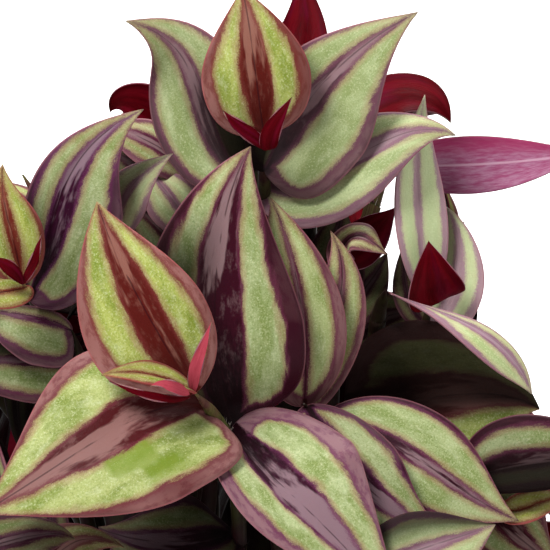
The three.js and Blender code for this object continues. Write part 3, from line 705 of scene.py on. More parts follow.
def set_points(piece, points):
    piece.data.vertices.foreach_set("co", (points * MM).astype(np.float32).ravel())
    piece.data.update()


def paint(piece, **marks):
    """Keeps one number for each vertex under each name, for the materials to read."""
    for name, values in marks.items():
        layer = piece.data.attributes.new(name, "FLOAT", "POINT")
        each = np.broadcast_to(np.ravel(values), len(piece.data.vertices))
        layer.data.foreach_set("value", each.astype(np.float32))


def give_wall(piece, thickness, merge_within, inner_material=0):
    """Merges the vertices of a thin sheet that meet, then gives it its thickness, half on each side."""
    select_only(piece)
    edit_all()
    bpy.ops.mesh.remove_doubles(threshold=merge_within * MM)
    leave_edit()
    wall = piece.modifiers.new("wall", "SOLIDIFY")
    wall.thickness = thickness * MM
    wall.offset = 0
    wall.material_offset = inner_material
    apply_modifiers(piece)


def finish_piece(piece, slot, *nodes):
    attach(piece, "root")
    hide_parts(*nodes)


# ---- Camera ----
def make_camera():
    back = np.array([0, -math.cos(VIEW_TILT), math.sin(VIEW_TILT)])
    place = (VIEW_MIDDLE + back * VIEW_DISTANCE) * MM
    bpy.ops.object.camera_add(location=place, rotation=(math.pi / 2 - VIEW_TILT, 0, 0))
    camera = bpy.context.object
    camera.data.sensor_width = SENSOR_WIDTH
    camera.data.lens = SENSOR_WIDTH * VIEW_DISTANCE / VIEW_WIDTH
    bpy.context.scene.camera = camera


deselect()
make_camera()


# ---- Materials ----
def colour(red, green, blue):
    """A colour given as it looks on a screen, from 0 to 255."""
    def linear(value):
        share = value / 255
        return share / 12.92 if share <= 0.04045 else ((share + 0.055) / 1.055) ** 2.4

    return (linear(red), linear(green), linear(blue), 1.0)


class Value:
    """What a node of a material gives. Sums of values are made with more nodes."""

    def __init__(self, skin, socket):
        self.skin = skin
        self.socket = socket

    def __add__(self, other):
        return self.skin.math("ADD", self, other)

    def __sub__(self, other):
        return self.skin.math("SUBTRACT", self, other)

    def __mul__(self, other):
        return self.skin.math("MULTIPLY", self, other)

    def __truediv__(self, other):
        return self.skin.math("DIVIDE", self, other)

    def ramp(self, low, high, end=1.0, start=0.0):
        """A smooth step from start at low to end at high."""
        limits = {"From Min": low, "From Max": high, "To Min": start, "To Max": end}
        return self.skin.value(
            "ShaderNodeMapRange", "Result", {"Value": self, **limits}, interpolation_type="SMOOTHSTEP")


class Paint:
    """A material on the Principled shader, with short words for the nodes that feed it."""

    def __init__(self, name, **values):
        self.material = bpy.data.materials.new(name)
        self.material.use_nodes = True
        self.tree = self.material.node_tree
        self.shader = self.tree.nodes["Principled BSDF"]
        for socket, value in values.items():
            self.shader.inputs[socket.replace("_", " ")].default_value = value

    def put(self, socket, value):
        if isinstance(value, Value):
            self.tree.links.new(value.socket, socket)
        else:
            socket.default_value = value

    def feed(self, socket, value):
        self.put(self.shader.inputs[socket], value)

    def value(self, kind, output, inputs, **settings):
        """The output of a new node with these inputs, each by its name or number."""
        made = self.tree.nodes.new(kind)
        for key, setting in settings.items():
            setattr(made, key, setting)
        for socket, value in inputs.items():
            self.put(made.inputs[socket], value)
        return Value(self, made.outputs[output])

    def mark(self, name):
        """A number kept on the mesh under this name."""
        return self.value("ShaderNodeAttribute", "Fac", {}, attribute_name=name)

    def marks(self, *names):
        return SimpleNamespace(**{name: self.mark(name) for name in names})

    def place(self):
        return self.value("ShaderNodeTexCoord", "Object", {})

    def math(self, operation, first, second=0.0):
        return self.value("ShaderNodeMath", 0, {0: first, 1: second}, operation=operation)

    def vector(self, x, y, z):
        return self.value("ShaderNodeCombineXYZ", 0, {0: x, 1: y, 2: z})

    def noise(self, where, scale, detail, roughness=0.5, stretch=None):
        if stretch is not None:
            where = self.value("ShaderNodeMapping", 0, {"Vector": where, "Scale": stretch})
        inputs = {"Vector": where, "Scale": scale, "Detail": detail, "Roughness": roughness}
        return self.value("ShaderNodeTexNoise", "Fac", inputs)

    def swing(self, where, detail, roughness, stretch):
        """Noise on both sides of 0."""
        return self.noise(where, 1.0, detail, roughness, stretch) - 0.5

    def cells(self, where, scale):
        return self.value("ShaderNodeTexVoronoi", "Distance", {"Vector": where, "Scale": scale})

    def mix(self, share, first, second):
        return self.value("ShaderNodeMix", 2, {0: share, 6: first, 7: second}, data_type="RGBA")

    def layers(self, base, *tints):
        """Tints laid over the base one after the other, each by its share."""
        for share, tint in tints:
            base = self.mix(share, base, tint)
        return base

    def bump(self, height, strength, distance):
        inputs = {"Height": height, "Strength": strength, "Distance": distance}
        self.feed("Normal", self.value("ShaderNodeBump", 0, inputs))


# ---- The leaves' faces ----
# How far before and beyond its end a stripe fades, in millimetres.
STRIPE_FADE = (-0.55, 0.45)


def veins_of(skin, leaf, quickness=0.03):
    """Where streaks along the veins are read: they change across the blade, and slowly along it."""
    return skin.vector(leaf.side, leaf.along_mm * quickness, leaf.seed)


def blade_face():
    """The upper face: silver-green bands between a purple midrib stripe and purple margins."""
    skin = Paint("blade_face", Specular_IOR_Level=0.045, Subsurface_Weight=0.05, Subsurface_Scale=0.0008)
    leaf = skin.marks(
        "rib_mm", "along_mm", "share", "side", "edge_mm", "centre_mm", "margin_mm", "seed",
        "young", "dusk", "violet", "pale", "deep", "streaked", "patch",
    )
    leaf.flat = skin.vector(leaf.rib_mm, leaf.along_mm, leaf.seed)
    leaf.veins = veins_of(skin, leaf)
    leaf.from_rib = skin.math("ABSOLUTE", leaf.rib_mm)
    leaf.streaks = skin.noise(leaf.veins, 9.0, 4.0, 0.65)
    leaf.mottle = skin.noise(leaf.flat, 2.3, 3.0, 0.75)
    find_stripes(skin, leaf)

    rim = leaf.edge_mm.ramp(0.5, 0.15, 0.4) * leaf.share.ramp(1.0, 0.9)
    lit_band = skin.math("SUBTRACT", 1.0, skin.math("MAXIMUM", leaf.dusk, leaf.striped))
    glint = skin.cells(leaf.flat, 2.1).ramp(0.2, 0.04, 0.25) * lit_band
    skin.feed("Base Color", skin.layers(
        skin.mix(leaf.striped, band_colour(skin, leaf), stripe_colour(skin, leaf)),
        (rim, skin.mix(leaf.young, colour(150, 96, 104), colour(156, 72, 72))),
        # Painted shade: darker where the dusk mark is high.
        (leaf.dusk * 0.985, colour(9, 3, 2)),
        (glint, colour(206, 206, 184)),
    ))
    skin.feed("Roughness", leaf.mottle.ramp(0.3, 0.7, 0.5, start=0.36) + leaf.dusk * 0.4)
    rows = skin.noise(leaf.veins, 24.0, 2.0)
    skin.bump(rows * 0.7 + skin.cells(leaf.flat, 2.6) * 0.45, 0.3, 0.0003)
    return skin.material


def find_stripes(skin, leaf):
    """How deep in a stripe each spot is. Stripes end wavering, frayed along the veins and grainy."""
    waver = skin.swing(leaf.flat, 2.0, 0.5, (0.3, 0.1, 1.0))
    leaf.fray = skin.swing(leaf.flat, 3.0, 0.6, (1.8, 0.4, 1.0))
    grain = skin.swing(leaf.flat, 1.0, 0.5, (4.5, 3.5, 1.0))
    shift = waver * (leaf.centre_mm * 0.7) + leaf.fray * 1.2 + grain * 0.9
    in_centre = leaf.centre_mm - leaf.from_rib + shift
    in_margin = leaf.margin_mm - leaf.edge_mm + shift
    leaf.depth = skin.math("MAXIMUM", in_centre, in_margin)
    leaf.centre = in_centre.ramp(*STRIPE_FADE)
    leaf.striped = leaf.depth.ramp(*STRIPE_FADE)


def band_colour(skin, leaf):
    """The bands: silver over green, mottled cell by cell, greener in patches, browner at the edges."""
    patches = skin.noise(leaf.flat, 1.0, 3.0, 0.6, (0.22, 0.09, 1.0)).ramp(0.35, 0.65)
    silver = skin.mix(patches, colour(114, 128, 72), colour(150, 160, 114))
    fresh = skin.mix(patches, colour(110, 122, 30), colour(152, 158, 70))
    return skin.layers(
        skin.mix(leaf.young, silver, fresh),
        (leaf.mottle.ramp(0.5, 0.7, 0.6), colour(186, 190, 150)),
        (leaf.mottle.ramp(0.46, 0.3, 0.6), colour(80, 96, 42)),
        (leaf.streaks.ramp(0.5, 0.75, 0.3), colour(190, 194, 160)),
        (leaf.depth.ramp(-1.7, -0.2, 0.6), colour(138, 108, 82)),
        # Painted backlight: a wash of pale mint over the bands.
        (leaf.pale * 0.6, colour(202, 214, 166)),
        (leaf.patch * leaf.mottle.ramp(0.3, 0.6, 0.85, start=0.5), colour(98, 118, 24)),
    )


def stripe_colour(skin, leaf):
    """The stripes: greyish mauve between wine-red streaks, violet where they end."""
    def purple(plain, violet, young):
        return skin.mix(leaf.young, skin.mix(leaf.violet, colour(*plain), colour(*violet)), colour(*young))

    mauve = purple((122, 94, 90), (118, 94, 104), (120, 72, 56))
    wine = purple((48, 9, 13), (46, 11, 32), (80, 22, 14))
    bound = purple((86, 36, 42), (90, 40, 72), (98, 40, 28))
    # The stripe's root: its own dark maroon, deepened to near black with painted shade, redder on young
    # leaves.
    root = skin.mix(leaf.young, colour(16, 1, 4), colour(78, 18, 12))
    drift = skin.noise(leaf.veins, 1.3, 2.0)
    lines = skin.noise(veins_of(skin, leaf, 0.012), 6.0, 3.0, 0.55)

    # The midrib stripe is darker towards its sides and its root, where its own dark maroon is deepened to
    # near black with painted shade.
    outward = leaf.from_rib / (leaf.centre_mm + 0.2)
    darkness = lines + outward.ramp(0.2, 1.0, 0.16, start=-0.07)
    darkness = darkness + leaf.share.ramp(0.8, 0.1, 0.22, start=-0.06)
    darkness = darkness + drift.ramp(0.3, 0.7, 0.08, start=-0.06) + leaf.streaked
    stripe = skin.layers(
        mauve,
        (darkness.ramp(0.48, 0.62), wine),
        (leaf.streaks.ramp(0.5, 0.7, 0.4), mauve),
        ((leaf.share + leaf.fray * 0.5).ramp(0.42, 0.08, 0.95), root),
    )
    margins = skin.layers(
        purple((130, 94, 88), (122, 90, 98), (140, 94, 88)),
        (leaf.streaks.ramp(0.45, 0.65, 0.6), bound),
        (leaf.deep + drift.ramp(0.4, 0.58, 0.5), wine),
    )
    rib = leaf.from_rib.ramp(0.26, 0.1) * lines.ramp(0.42, 0.5)
    return skin.layers(
        skin.mix(leaf.centre, margins, stripe),
        (leaf.depth.ramp(1.4, 0.2, 0.8), bound),
        (rib * 0.6, colour(34, 10, 16)),
        # Painted backlight: a wash of pale pink over the stripes.
        (leaf.pale * 0.6, colour(180, 150, 156)),
    )


def blade_back():
    """The underside: deep maroon, faintly banded and turning to magenta, rosier on some leaves partly as
    painted light, and darkened by painted shade.
    """
    skin = Paint("blade_back", Specular_IOR_Level=0.02)
    leaf = skin.marks(
        "rib_mm", "along_mm", "side", "seed", "edge_mm", "centre_mm", "margin_mm", "dusk", "blush")
    veins = veins_of(skin, leaf)
    streaks = skin.noise(veins, 12.0, 4.0, 0.6)
    drift = skin.noise(veins_of(skin, leaf, 0.04), 1.4, 2.0)
    from_rib = skin.math("ABSOLUTE", leaf.rib_mm)
    depth = skin.math("MAXIMUM", leaf.centre_mm - from_rib, leaf.margin_mm - leaf.edge_mm)
    maroon = skin.layers(
        skin.mix(streaks, colour(40, 0, 3), colour(84, 2, 10)),
        (drift.ramp(0.45, 0.7, 0.6), colour(84, 6, 34)),
        (depth.ramp(0.2, -0.8, 0.25), colour(116, 12, 26)),
    )
    # Rosier undersides: partly their own colour, partly painted light, a lit copy of the maroon.
    rosy = skin.mix(streaks.ramp(0.3, 0.75), colour(142, 68, 102), colour(160, 114, 138))
    rosy = skin.mix(leaf.side.ramp(0.1, 0.9, 0.8), rosy, colour(150, 44, 86))
    pink = skin.mix(streaks, colour(126, 26, 42), colour(176, 76, 88))
    rosiest = leaf.blush.ramp(0.2, 1.0) * leaf.blush.ramp(2.0, 1.2)
    skin.feed("Base Color", skin.layers(
        maroon,
        (leaf.blush.ramp(0.0, 1.0), rosy),
        (leaf.blush.ramp(1.0, 2.0), pink),
        (from_rib.ramp(0.4, 0.1, 0.6) * rosiest, colour(196, 160, 176)),
        # Painted shade: darker where the dusk mark is high.
        (leaf.dusk * 0.9, colour(14, 0, 2)),
    ))
    skin.feed("Roughness", streaks.ramp(0.3, 0.7, 0.55, start=0.4))
    skin.bump(skin.noise(veins, 24.0, 2.0), 0.3, 0.0003)
    return skin.material


# ---- The other materials ----
def stem_skin():
    """Fleshy stems: green and purple streaks, with painted shade inside the mound."""
    skin = Paint("stem_skin", Roughness=0.5, Specular_IOR_Level=0.08)
    streaks = skin.noise(skin.place(), 900.0, 3.0, 0.6, stretch=(1.0, 1.0, 0.12))
    blotches = skin.noise(skin.place(), 90.0, 3.0)
    skin.feed("Base Color", skin.layers(
        skin.mix(blotches.ramp(0.35, 0.65), colour(84, 88, 42), colour(80, 34, 42)),
        (streaks.ramp(0.45, 0.7, 0.7), colour(50, 16, 24)),
        # Painted shade inside the mound.
        (skin.mark("dusk") * 0.85, colour(14, 7, 6)),
    ))
    skin.bump(streaks, 0.2, 0.0002)
    return skin.material


def sheath_skin():
    """Papery sheaths round the stem below each leaf, striped along it, with painted shade inside the mound.
    """
    skin = Paint("sheath_skin", Roughness=0.6, Specular_IOR_Level=0.05)
    wrap = skin.marks("side", "seed", "dusk")
    stripes = skin.noise(skin.vector(wrap.side, 0.0, wrap.seed), 7.0, 3.0, 0.6)
    skin.feed("Base Color", skin.layers(
        skin.mix(stripes.ramp(0.38, 0.62), colour(96, 92, 52), colour(70, 24, 32)),
        # Painted shade inside the mound.
        (wrap.dusk * 0.9, colour(10, 4, 4)),
    ))
    return skin.material


def hair():
    """Pale hairs, with painted shade inside the mound."""
    skin = Paint("hair", Roughness=0.7, Specular_IOR_Level=0.1)
    flecks = skin.noise(skin.place(), 1500.0, 1.0)
    skin.feed("Base Color", skin.layers(
        skin.mix(flecks, colour(196, 180, 168), colour(228, 218, 206)),
        # Painted shade inside the mound.
        (skin.mark("dusk") * 0.95, colour(24, 16, 14)),
    ))
    return skin.material


def clay():
    """Unglazed terracotta: warm orange-brown with pale lime bloom, pores and fine turning lines."""
    skin = Paint("clay")
    place = skin.place()
    clouds = skin.noise(place, 22.0, 4.0, 0.6)
    grit = skin.noise(place, 700.0, 3.0, 0.7)
    bloom = skin.noise(place, 38.0, 6.0, 0.7, stretch=(1.0, 1.0, 0.6))
    turning = skin.noise(place, 60.0, 3.0, stretch=(0.1, 0.1, 9.0))
    skin.feed("Base Color", skin.layers(
        skin.mix(clouds, colour(164, 88, 60), colour(196, 120, 86)),
        (grit.ramp(0.5, 0.75, 0.35), colour(130, 66, 46)),
        (bloom.ramp(0.56, 0.74, 0.4), colour(214, 192, 176)),
    ))
    skin.feed("Roughness", grit.ramp(0.3, 0.7, 0.95, start=0.78))
    skin.bump(turning + grit, 0.25, 0.0006)
    return skin.material


def peat():
    """Dark moist potting soil."""
    skin = Paint("peat", Roughness=0.92)
    crumbs = skin.noise(skin.place(), 350.0, 4.0, 0.65)
    skin.feed("Base Color", skin.mix(crumbs, colour(36, 25, 19), colour(84, 62, 46)))
    skin.bump(crumbs, 0.6, 0.001)
    return skin.material


BLADE_FACE = blade_face()
BLADE_BACK = blade_back()
STEM_SKIN = stem_skin()
SHEATH_SKIN = sheath_skin()
HAIR = hair()
CLAY = clay()
PEAT = peat()

# ---- Leaves ----
# Rows and columns of the sheets for the leaves of the front, and for the rest.
FRONT_GRID = (48, 28)
RULE_GRID = (24, 14)
# Rows start and end just short of the midrib's ends, where a blade has no width, and crowd to the root.
ROOT_SHARE = 0.002
TIP_SHARE = 0.997
CROWDING = 1.3
WAVES_ALONG = 11
# Half the midrib stripe, and the margin, as shares of half the blade.
CENTRE_SHARE = 0.29
MARGIN_SHARE = 0.24
# What a leaf looks like where nothing is said of it. Shade turns over across this width of the
# blade, and fades out along this share of it.
PLAIN_LOOK = {"young": 0.0, "pale": 0.0, "blush": 0.0, "deep": 0.15, "streaked": 0.0}
DUSK_FROM = -0.3
DUSK_WIDTH = 0.6
DUSK_FADE = 0.3
# Up to this share of a blade the margins keep their width, and the midrib stripe at least half of
# its own. From there the margins narrow to just past the tip.
STRIPES_NARROW_FROM = 0.4
LEAST_STRIPE = 0.5
MARGINS_END = 1.02
PATCH_FADE = (-0.4, 0.8)
# Among the leaves the shade is full within the first share of the mound, and ends at the second.
FULL_SHADE = 0.62
SHADE_END = 0.9
looks_draws = Draws(2024)


def flat_sheet(rows, columns):
    """The flat sheet that every blade is shaped from."""
    deselect()
    bpy.ops.mesh.primitive_grid_add(x_subdivisions=columns, y_subdivisions=rows, size=1)
    sheet = rename(f"sheet_{rows}")
    sheet.data.materials.append(BLADE_FACE)
    sheet.data.materials.append(BLADE_BACK)
    return sheet


def smooth_step(value, low, high):
    share = np.clip((value - low) / (high - low), 0, 1)
    return share * share * (3 - 2 * share)


def inner_shade(points):
    """How dark it is among the leaves: 0 near the mound's surface, 1 well inside it."""
    out = np.linalg.norm((points - MOUND_MIDDLE) / MOUND_SIZE, axis=-1)
    return 1 - smooth_step(out, FULL_SHADE, SHADE_END)


def shape_blade(sheet, one, rows, columns, name):
    """Shapes a copy of the flat sheet into this leaf, with a slightly wavy edge."""
    made = copy_of(sheet, name)
    even = np.linspace(0, 1, rows + 1)
    t = even ** CROWDING * TIP_SHARE + ROOT_SHARE * (1 - even)
    v = np.linspace(-1, 1, columns + 1)
    _, face, _ = one.frames(t)
    wave = looks_draws.between(0.1, 0.4)
    phase = looks_draws.between(0, 6)
    ripple = wave * np.sin(phase + t * WAVES_ALONG)[:, None] * (v ** 3)[None, :] * one.outline(t)[:, None]
    surface = one.surface(t, v) + face[:, None, :] * ripple[:, :, None]
    set_points(made, surface.reshape(-1, 3))
    mark_blade(made, one, surface, t, v)
    return made


def mark_blade(made, one, surface, t, v):
    """Keeps the numbers that the leaf's materials read: where each vertex is, and the leaf's look."""
    middle = len(v) // 2
    steps = np.linalg.norm(np.diff(surface, axis=1), axis=2)
    run = np.concatenate([np.zeros((len(t), 1)), np.cumsum(steps, axis=1)], axis=1)
    margin = np.concatenate([surface[:, 0], surface[:, -1]])
    to_margin = np.linalg.norm(surface[:, :, None, :] - margin, axis=3).min(2)
    length = np.linalg.norm(one.rib[3] - one.rib[0])
    half = np.repeat(one.half, [middle, middle + 1])
    full = np.maximum(one.outline(t), LEAST_STRIPE * (t < STRIPES_NARROW_FROM))
    narrow = 1 - smooth_step(t, STRIPES_NARROW_FROM, MARGINS_END)
    paint(
        made,
        rib_mm=run - run[:, middle:middle + 1],
        along_mm=np.repeat(t * length, len(v)),
        share=np.repeat(t, len(v)),
        side=np.tile(v, len(t)),
        edge_mm=np.minimum(to_margin, np.minimum(run, run[:, -1:] - run)),
        centre_mm=CENTRE_SHARE * one.look.get("centre", 1.0) * np.outer(full, half),
        margin_mm=MARGIN_SHARE * one.look.get("margin", 1.0) * np.outer(narrow, half),
        seed=looks_draws.between(0, 900),
        violet=one.look.get("violet", looks_draws.between(0, 1)),
        dusk=dusk_on(one, surface, t, v),
        patch=patches_on(one, t, v, length, half),
        **{name: one.look.get(name, usual) for name, usual in PLAIN_LOOK.items()},
    )


def dusk_on(one, surface, t, v):
    """The shade over a leaf: half by half where its look says so, or else by its place."""
    if "dusk" not in one.look:
        return inner_shade(surface)
    turn = one.look.get("dusk_from", DUSK_FROM)
    dusk = np.interp(v, [turn, turn + DUSK_WIDTH], one.look["dusk"])[None, :]
    if "dusk_until" in one.look:
        until = one.look["dusk_until"]
        dusk = dusk * (1 - smooth_step(t, until - DUSK_FADE, until))[:, None]
    return np.broadcast_to(dusk, surface.shape[:2])


def patches_on(one, t, v, length, half):
    """1 inside the leaf's green windows and 0 outside, with edges about a millimetre soft."""
    patch = np.zeros((len(t), len(v)))
    for near_root, near_tip, inner, outer in one.look.get("patches", ()):
        spread = np.minimum(t - near_root, near_tip - t)[:, None] * length
        reach = np.minimum(v - inner, outer - v) * half
        patch = np.maximum(patch, smooth_step(np.minimum(spread, reach), *PATCH_FADE))
    return patch


# ---- Stems ----
STEM_SIDES = 10
STEM_CUTS = 11
STEM_STEPS = 4
NODE_SWELL = 0.12
END_NARROWING = (0.8, 0.12)


def make_stem(one):
    """A tube along the stem's route, swollen at its nodes and closing at its growing end."""
    deselect()
    bpy.ops.curve.primitive_bezier_curve_add()
    line = bpy.context.object
    spline = line.data.splines[0]
    p0, p1, p2, p3 = one.handles * MM
    ends = spline.bezier_points
    for point in ends:
        point.handle_left_type = "FREE"
        point.handle_right_type = "FREE"
    ends[0].co, ends[0].handle_left, ends[0].handle_right = p0, p0, p1
    ends[1].co, ends[1].handle_left, ends[1].handle_right = p3, p2, p3
    bpy.ops.object.mode_set(mode="EDIT")
    bpy.ops.curve.select_all(action="SELECT")
    bpy.ops.curve.subdivide(number_cuts=STEM_CUTS)
    leave_edit()
    knots = line.data.splines[0].bezier_points
    for number, knot in enumerate(knots):
        knot.radius = 1.0 + NODE_SWELL * (number % 2)
    knots[-2].radius, knots[-1].radius = END_NARROWING
    line.data.resolution_u = STEM_STEPS
    line.data.bevel_depth = STEM_RADIUS * MM
    line.data.bevel_resolution = (STEM_SIDES - 4) // 2
    line.data.use_fill_caps = True
    select_only(line)
    bpy.ops.object.convert(target="MESH")
    made = rename(one.name + "_tube")
    paint(made, dusk=inner_shade(points_of(made)))
    made.data.materials.clear()
    made.data.materials.append(STEM_SKIN)
    return made


# ---- Sheaths: each leaf's root wraps the stem below it, with a fringe of hairs ----
SHEATH_LENGTH = 6
SHEATH_RADIUS = STEM_RADIUS * 1.08
SHEATH_WALL = 0.12
SHEATH_SIDES = 12
SHEATH_ROWS = 4
# The last of the samples along a stem before its end tapers.
LAST_FULL_SAMPLE = 33
SHEATH_FLARE = 0.04 * STEM_RADIUS
HAIRS = 9
HAIR_LENGTH = 1.8
HAIR_THICKNESS = 0.11
HAIR_LEAN = 0.35
LEAN_CHANGE = 0.25
# A way that no stem runs along, to turn the sheaths from.
SIDEWAYS = [0.3, 0.9, 0.1]


def make_sheath():
    """One sheath and its fringe, standing at the origin with its rim at height 0."""
    deselect()
    bpy.ops.mesh.primitive_grid_add(x_subdivisions=SHEATH_SIDES, y_subdivisions=SHEATH_ROWS, size=1)
    wrap = rename("sheath")
    wrap.data.materials.append(SHEATH_SKIN)
    rise = np.repeat(np.linspace(0, 1, SHEATH_ROWS + 1), SHEATH_SIDES + 1)
    turn = np.tile(np.linspace(0, 2 * math.pi, SHEATH_SIDES + 1), SHEATH_ROWS + 1)
    out = SHEATH_RADIUS + SHEATH_FLARE * rise ** 3
    set_points(wrap, np.stack([out * np.cos(turn), out * np.sin(turn), (rise - 1) * SHEATH_LENGTH], axis=1))
    paint(wrap, side=np.sin(3 * turn))
    give_wall(wrap, SHEATH_WALL, merge_within=0.01)
    fringe = [make_hair(2 * math.pi * number / HAIRS) for number in range(HAIRS)]
    return join([wrap] + fringe, "sheath")


def make_hair(turn):
    """A fine hair on the sheath's rim, leaning out."""
    lean = HAIR_LEAN + LEAN_CHANGE * math.sin(5 * turn)
    out = SHEATH_RADIUS + SHEATH_FLARE + 0.5 * HAIR_LENGTH * math.sin(lean)
    deselect()
    bpy.ops.mesh.primitive_cone_add(
        vertices=3, radius1=HAIR_THICKNESS / 2 * MM, depth=HAIR_LENGTH * MM,
        location=(out * math.cos(turn) * MM, out * math.sin(turn) * MM, 0.45 * HAIR_LENGTH * MM),
        rotation=(0, lean, turn),
    )
    bpy.ops.object.transform_apply(location=True, rotation=True, scale=True)
    hair = rename("hair")
    hair.data.materials.append(HAIR)
    return hair


def wrap_sheath(sheath, one, leaf):
    """A copy of the sheath round the stem, with its rim at the leaf's root."""
    line = one.points(CURVE_SAMPLES)
    nearest = int(np.argmin(np.linalg.norm(line - leaf.rib[0], axis=1)))
    at = min(max(2, nearest), LAST_FULL_SAMPLE)
    axis = unit(line[at] - line[at - 2])
    square = unit(np.cross(axis, SIDEWAYS))
    made = copy_of(sheath, one.name + "_sheath")
    points = points_of(made)
    turn = looks_draws.between(0, 2 * math.pi)
    across = points[:, 0] * math.cos(turn) - points[:, 1] * math.sin(turn)
    along = points[:, 0] * math.sin(turn) + points[:, 1] * math.cos(turn)
    placed = line[at] + np.outer(across, square) + np.outer(along, np.cross(axis, square))
    placed += np.outer(points[:, 2], axis)
    set_points(made, placed)
    paint(made, dusk=inner_shade(placed), seed=looks_draws.between(0, 900))
    return made


def make_leafy_stem(one, sheet, grid, sheath):
    """A stem with its blades and sheaths and its small blades, in place of its solid."""
    parts = [make_stem(one)]
    if one.leaves:
        leaves = one.leaves + SMALL_BLADES.get(one.name, [])
        shaped = [shape_blade(sheet, leaf, *grid, one.name + "_leaf") for leaf in leaves]
        blades = join(shaped, one.name + "_blades")
        give_wall(blades, LEAF_THICKNESS, merge_within=0.02, inner_material=1)
        parts.append(blades)
        parts += [wrap_sheath(sheath, one, leaf) for leaf in one.leaves]
    whole = join(parts, one.name + "_foliage")
    bpy.ops.object.shade_smooth()
    finish_piece(whole, "foliage", one.name)


# ---- Small blades with no sheath ----
# Two fill gaps low in the foliage. The rest are rolled and folded parts at the roots of young
# leaves, with their undersides out.
UNDER = [[0, 0, -1], [0, 0, -1]]
SMALL_BLADES = {
    "stem_low_left": [
        blade([[-50.2, -72.8, 38.7], [-50.2, -63, 42], [-50.5, -53, 42], [-51, -43, 40]],
              tipped(0.2), [4.5, 4.5], **SHADED),
    ],
    "stem_low_right": [
        blade([[45.7, -49.3, 34.8], [51, -55.5, 36], [56.5, -60.5, 35], [64, -66, 32]],
              tipped(0.3), [12, 9], dusk=[0.4, 0.4]),
    ],
    "stem_crown": [
        blade([[-0.9, 28.4, 37.5], [-5.2, 31.4, 39.5], [-8.9, 34.3, 40.5], [-11.8, 37.2, 40]],
              UNDER, [1.6, 1.6], [5, 5]),
        blade([[-1.2, 28.4, 38], [-0.9, 31.8, 40.5], [1.2, 36, 41.5], [3.9, 40.3, 40.5]],
              UNDER, [2.1, 2.3], [15, 25], base=0.4),
    ],
    "stem_heart": [
        blade([[-18.3, -26.6, 76], [-18, -21.6, 81], [-16.4, -16.4, 84], [-14.2, -10.4, 84]],
              UNDER, [1.5, 1.4], [20, 5], blush=2.0),
        blade([[-19.3, -26.6, 80], [-22, -25.4, 85], [-24.8, -24.4, 86.5], [-28, -25, 86]],
              UNDER, [1.3, 1.3], [20, 5], blush=2.0),
        blade([[-19, -27.4, 79], [-25, -27.6, 84.5], [-31, -26.2, 86], [-37.5, -23.6, 85]],
              UNDER, [0.9, 0.9], [20, 5]),
    ],
    "stem_left": [
        blade([[-56.8, -2, 48], [-54.9, 1.6, 51], [-53.6, 5.2, 52], [-52.6, 9.2, 51]],
              UNDER, [1.0, 1.1], [20, 5]),
        blade([[-57, -2, 49], [-59.3, 1, 52], [-61.6, 2.7, 52.5], [-64, 4, 52]],
              UNDER, [1.7, 1.5], [20, 20]),
    ],
}

sheath = make_sheath()
for group, grid in ((stems[:front_count], FRONT_GRID), (stems[front_count:], RULE_GRID)):
    sheet = flat_sheet(*grid)
    for one_stem in group:
        make_leafy_stem(one_stem, sheet, grid, sheath)
    bpy.data.objects.remove(sheet)
bpy.data.objects.remove(sheath)


# ---- The pot and its soil ----
POT_SIDES = 128
POT_EDGE = 1.5
POT_ROUNDING = 0.7
DRAIN_SIDES = 32
RIM_UNDERCUT = 1
MOUTH_RADIUS = POT_RIM_RADIUS - POT_WALL
SHOULDER = POT_HEIGHT - POT_RIM_HEIGHT
# The height inside where the wide mouth starts.
THROAT = SHOULDER + 4


def wall_inside(height):
    """The radius of the pot's inside, below its throat."""
    share = height / SHOULDER
    return POT_FOOT_RADIUS + (POT_BODY_TOP_RADIUS - POT_FOOT_RADIUS) * share - POT_WALL


def turned_form(name, profile, sides):
    """A disc drawn up and widened from ring to ring, each given by its radius and height."""
    deselect()
    radius, height = profile[0]
    bpy.ops.mesh.primitive_circle_add(
        vertices=sides, radius=radius * MM, fill_type="NGON", location=(0, 0, height * MM))
    bpy.ops.object.transform_apply(location=True, rotation=True, scale=True)
    edit_all()
    for next_radius, next_height in profile[1:]:
        rise = (0, 0, (next_height - height) * MM)
        bpy.ops.mesh.extrude_region_move(TRANSFORM_OT_translate={"value": rise})
        grow = next_radius / radius
        bpy.ops.transform.resize(value=(grow, grow, 1), center_override=(0, 0, next_height * MM))
        radius, height = next_radius, next_height
    bpy.ops.mesh.select_all(action="SELECT")
    bpy.ops.mesh.normals_make_consistent(inside=False)
    leave_edit()
    return rename(name)


def bore_drains(pot):
    for number in range(DRAIN_HOLES):
        turn = 2 * math.pi * number / DRAIN_HOLES + math.pi / 2
        place = (DRAIN_RING * math.cos(turn) * MM, DRAIN_RING * math.sin(turn) * MM, POT_FLOOR / 2 * MM)
        deselect()
        bpy.ops.mesh.primitive_cylinder_add(
            vertices=DRAIN_SIDES, radius=DRAIN_RADIUS * MM, depth=3 * POT_FLOOR * MM, location=place)
        drill = rename("drill")
        cut = pot.modifiers.new("drain", "BOOLEAN")
        cut.object = drill
        apply_modifiers(pot)
        bpy.data.objects.remove(drill)


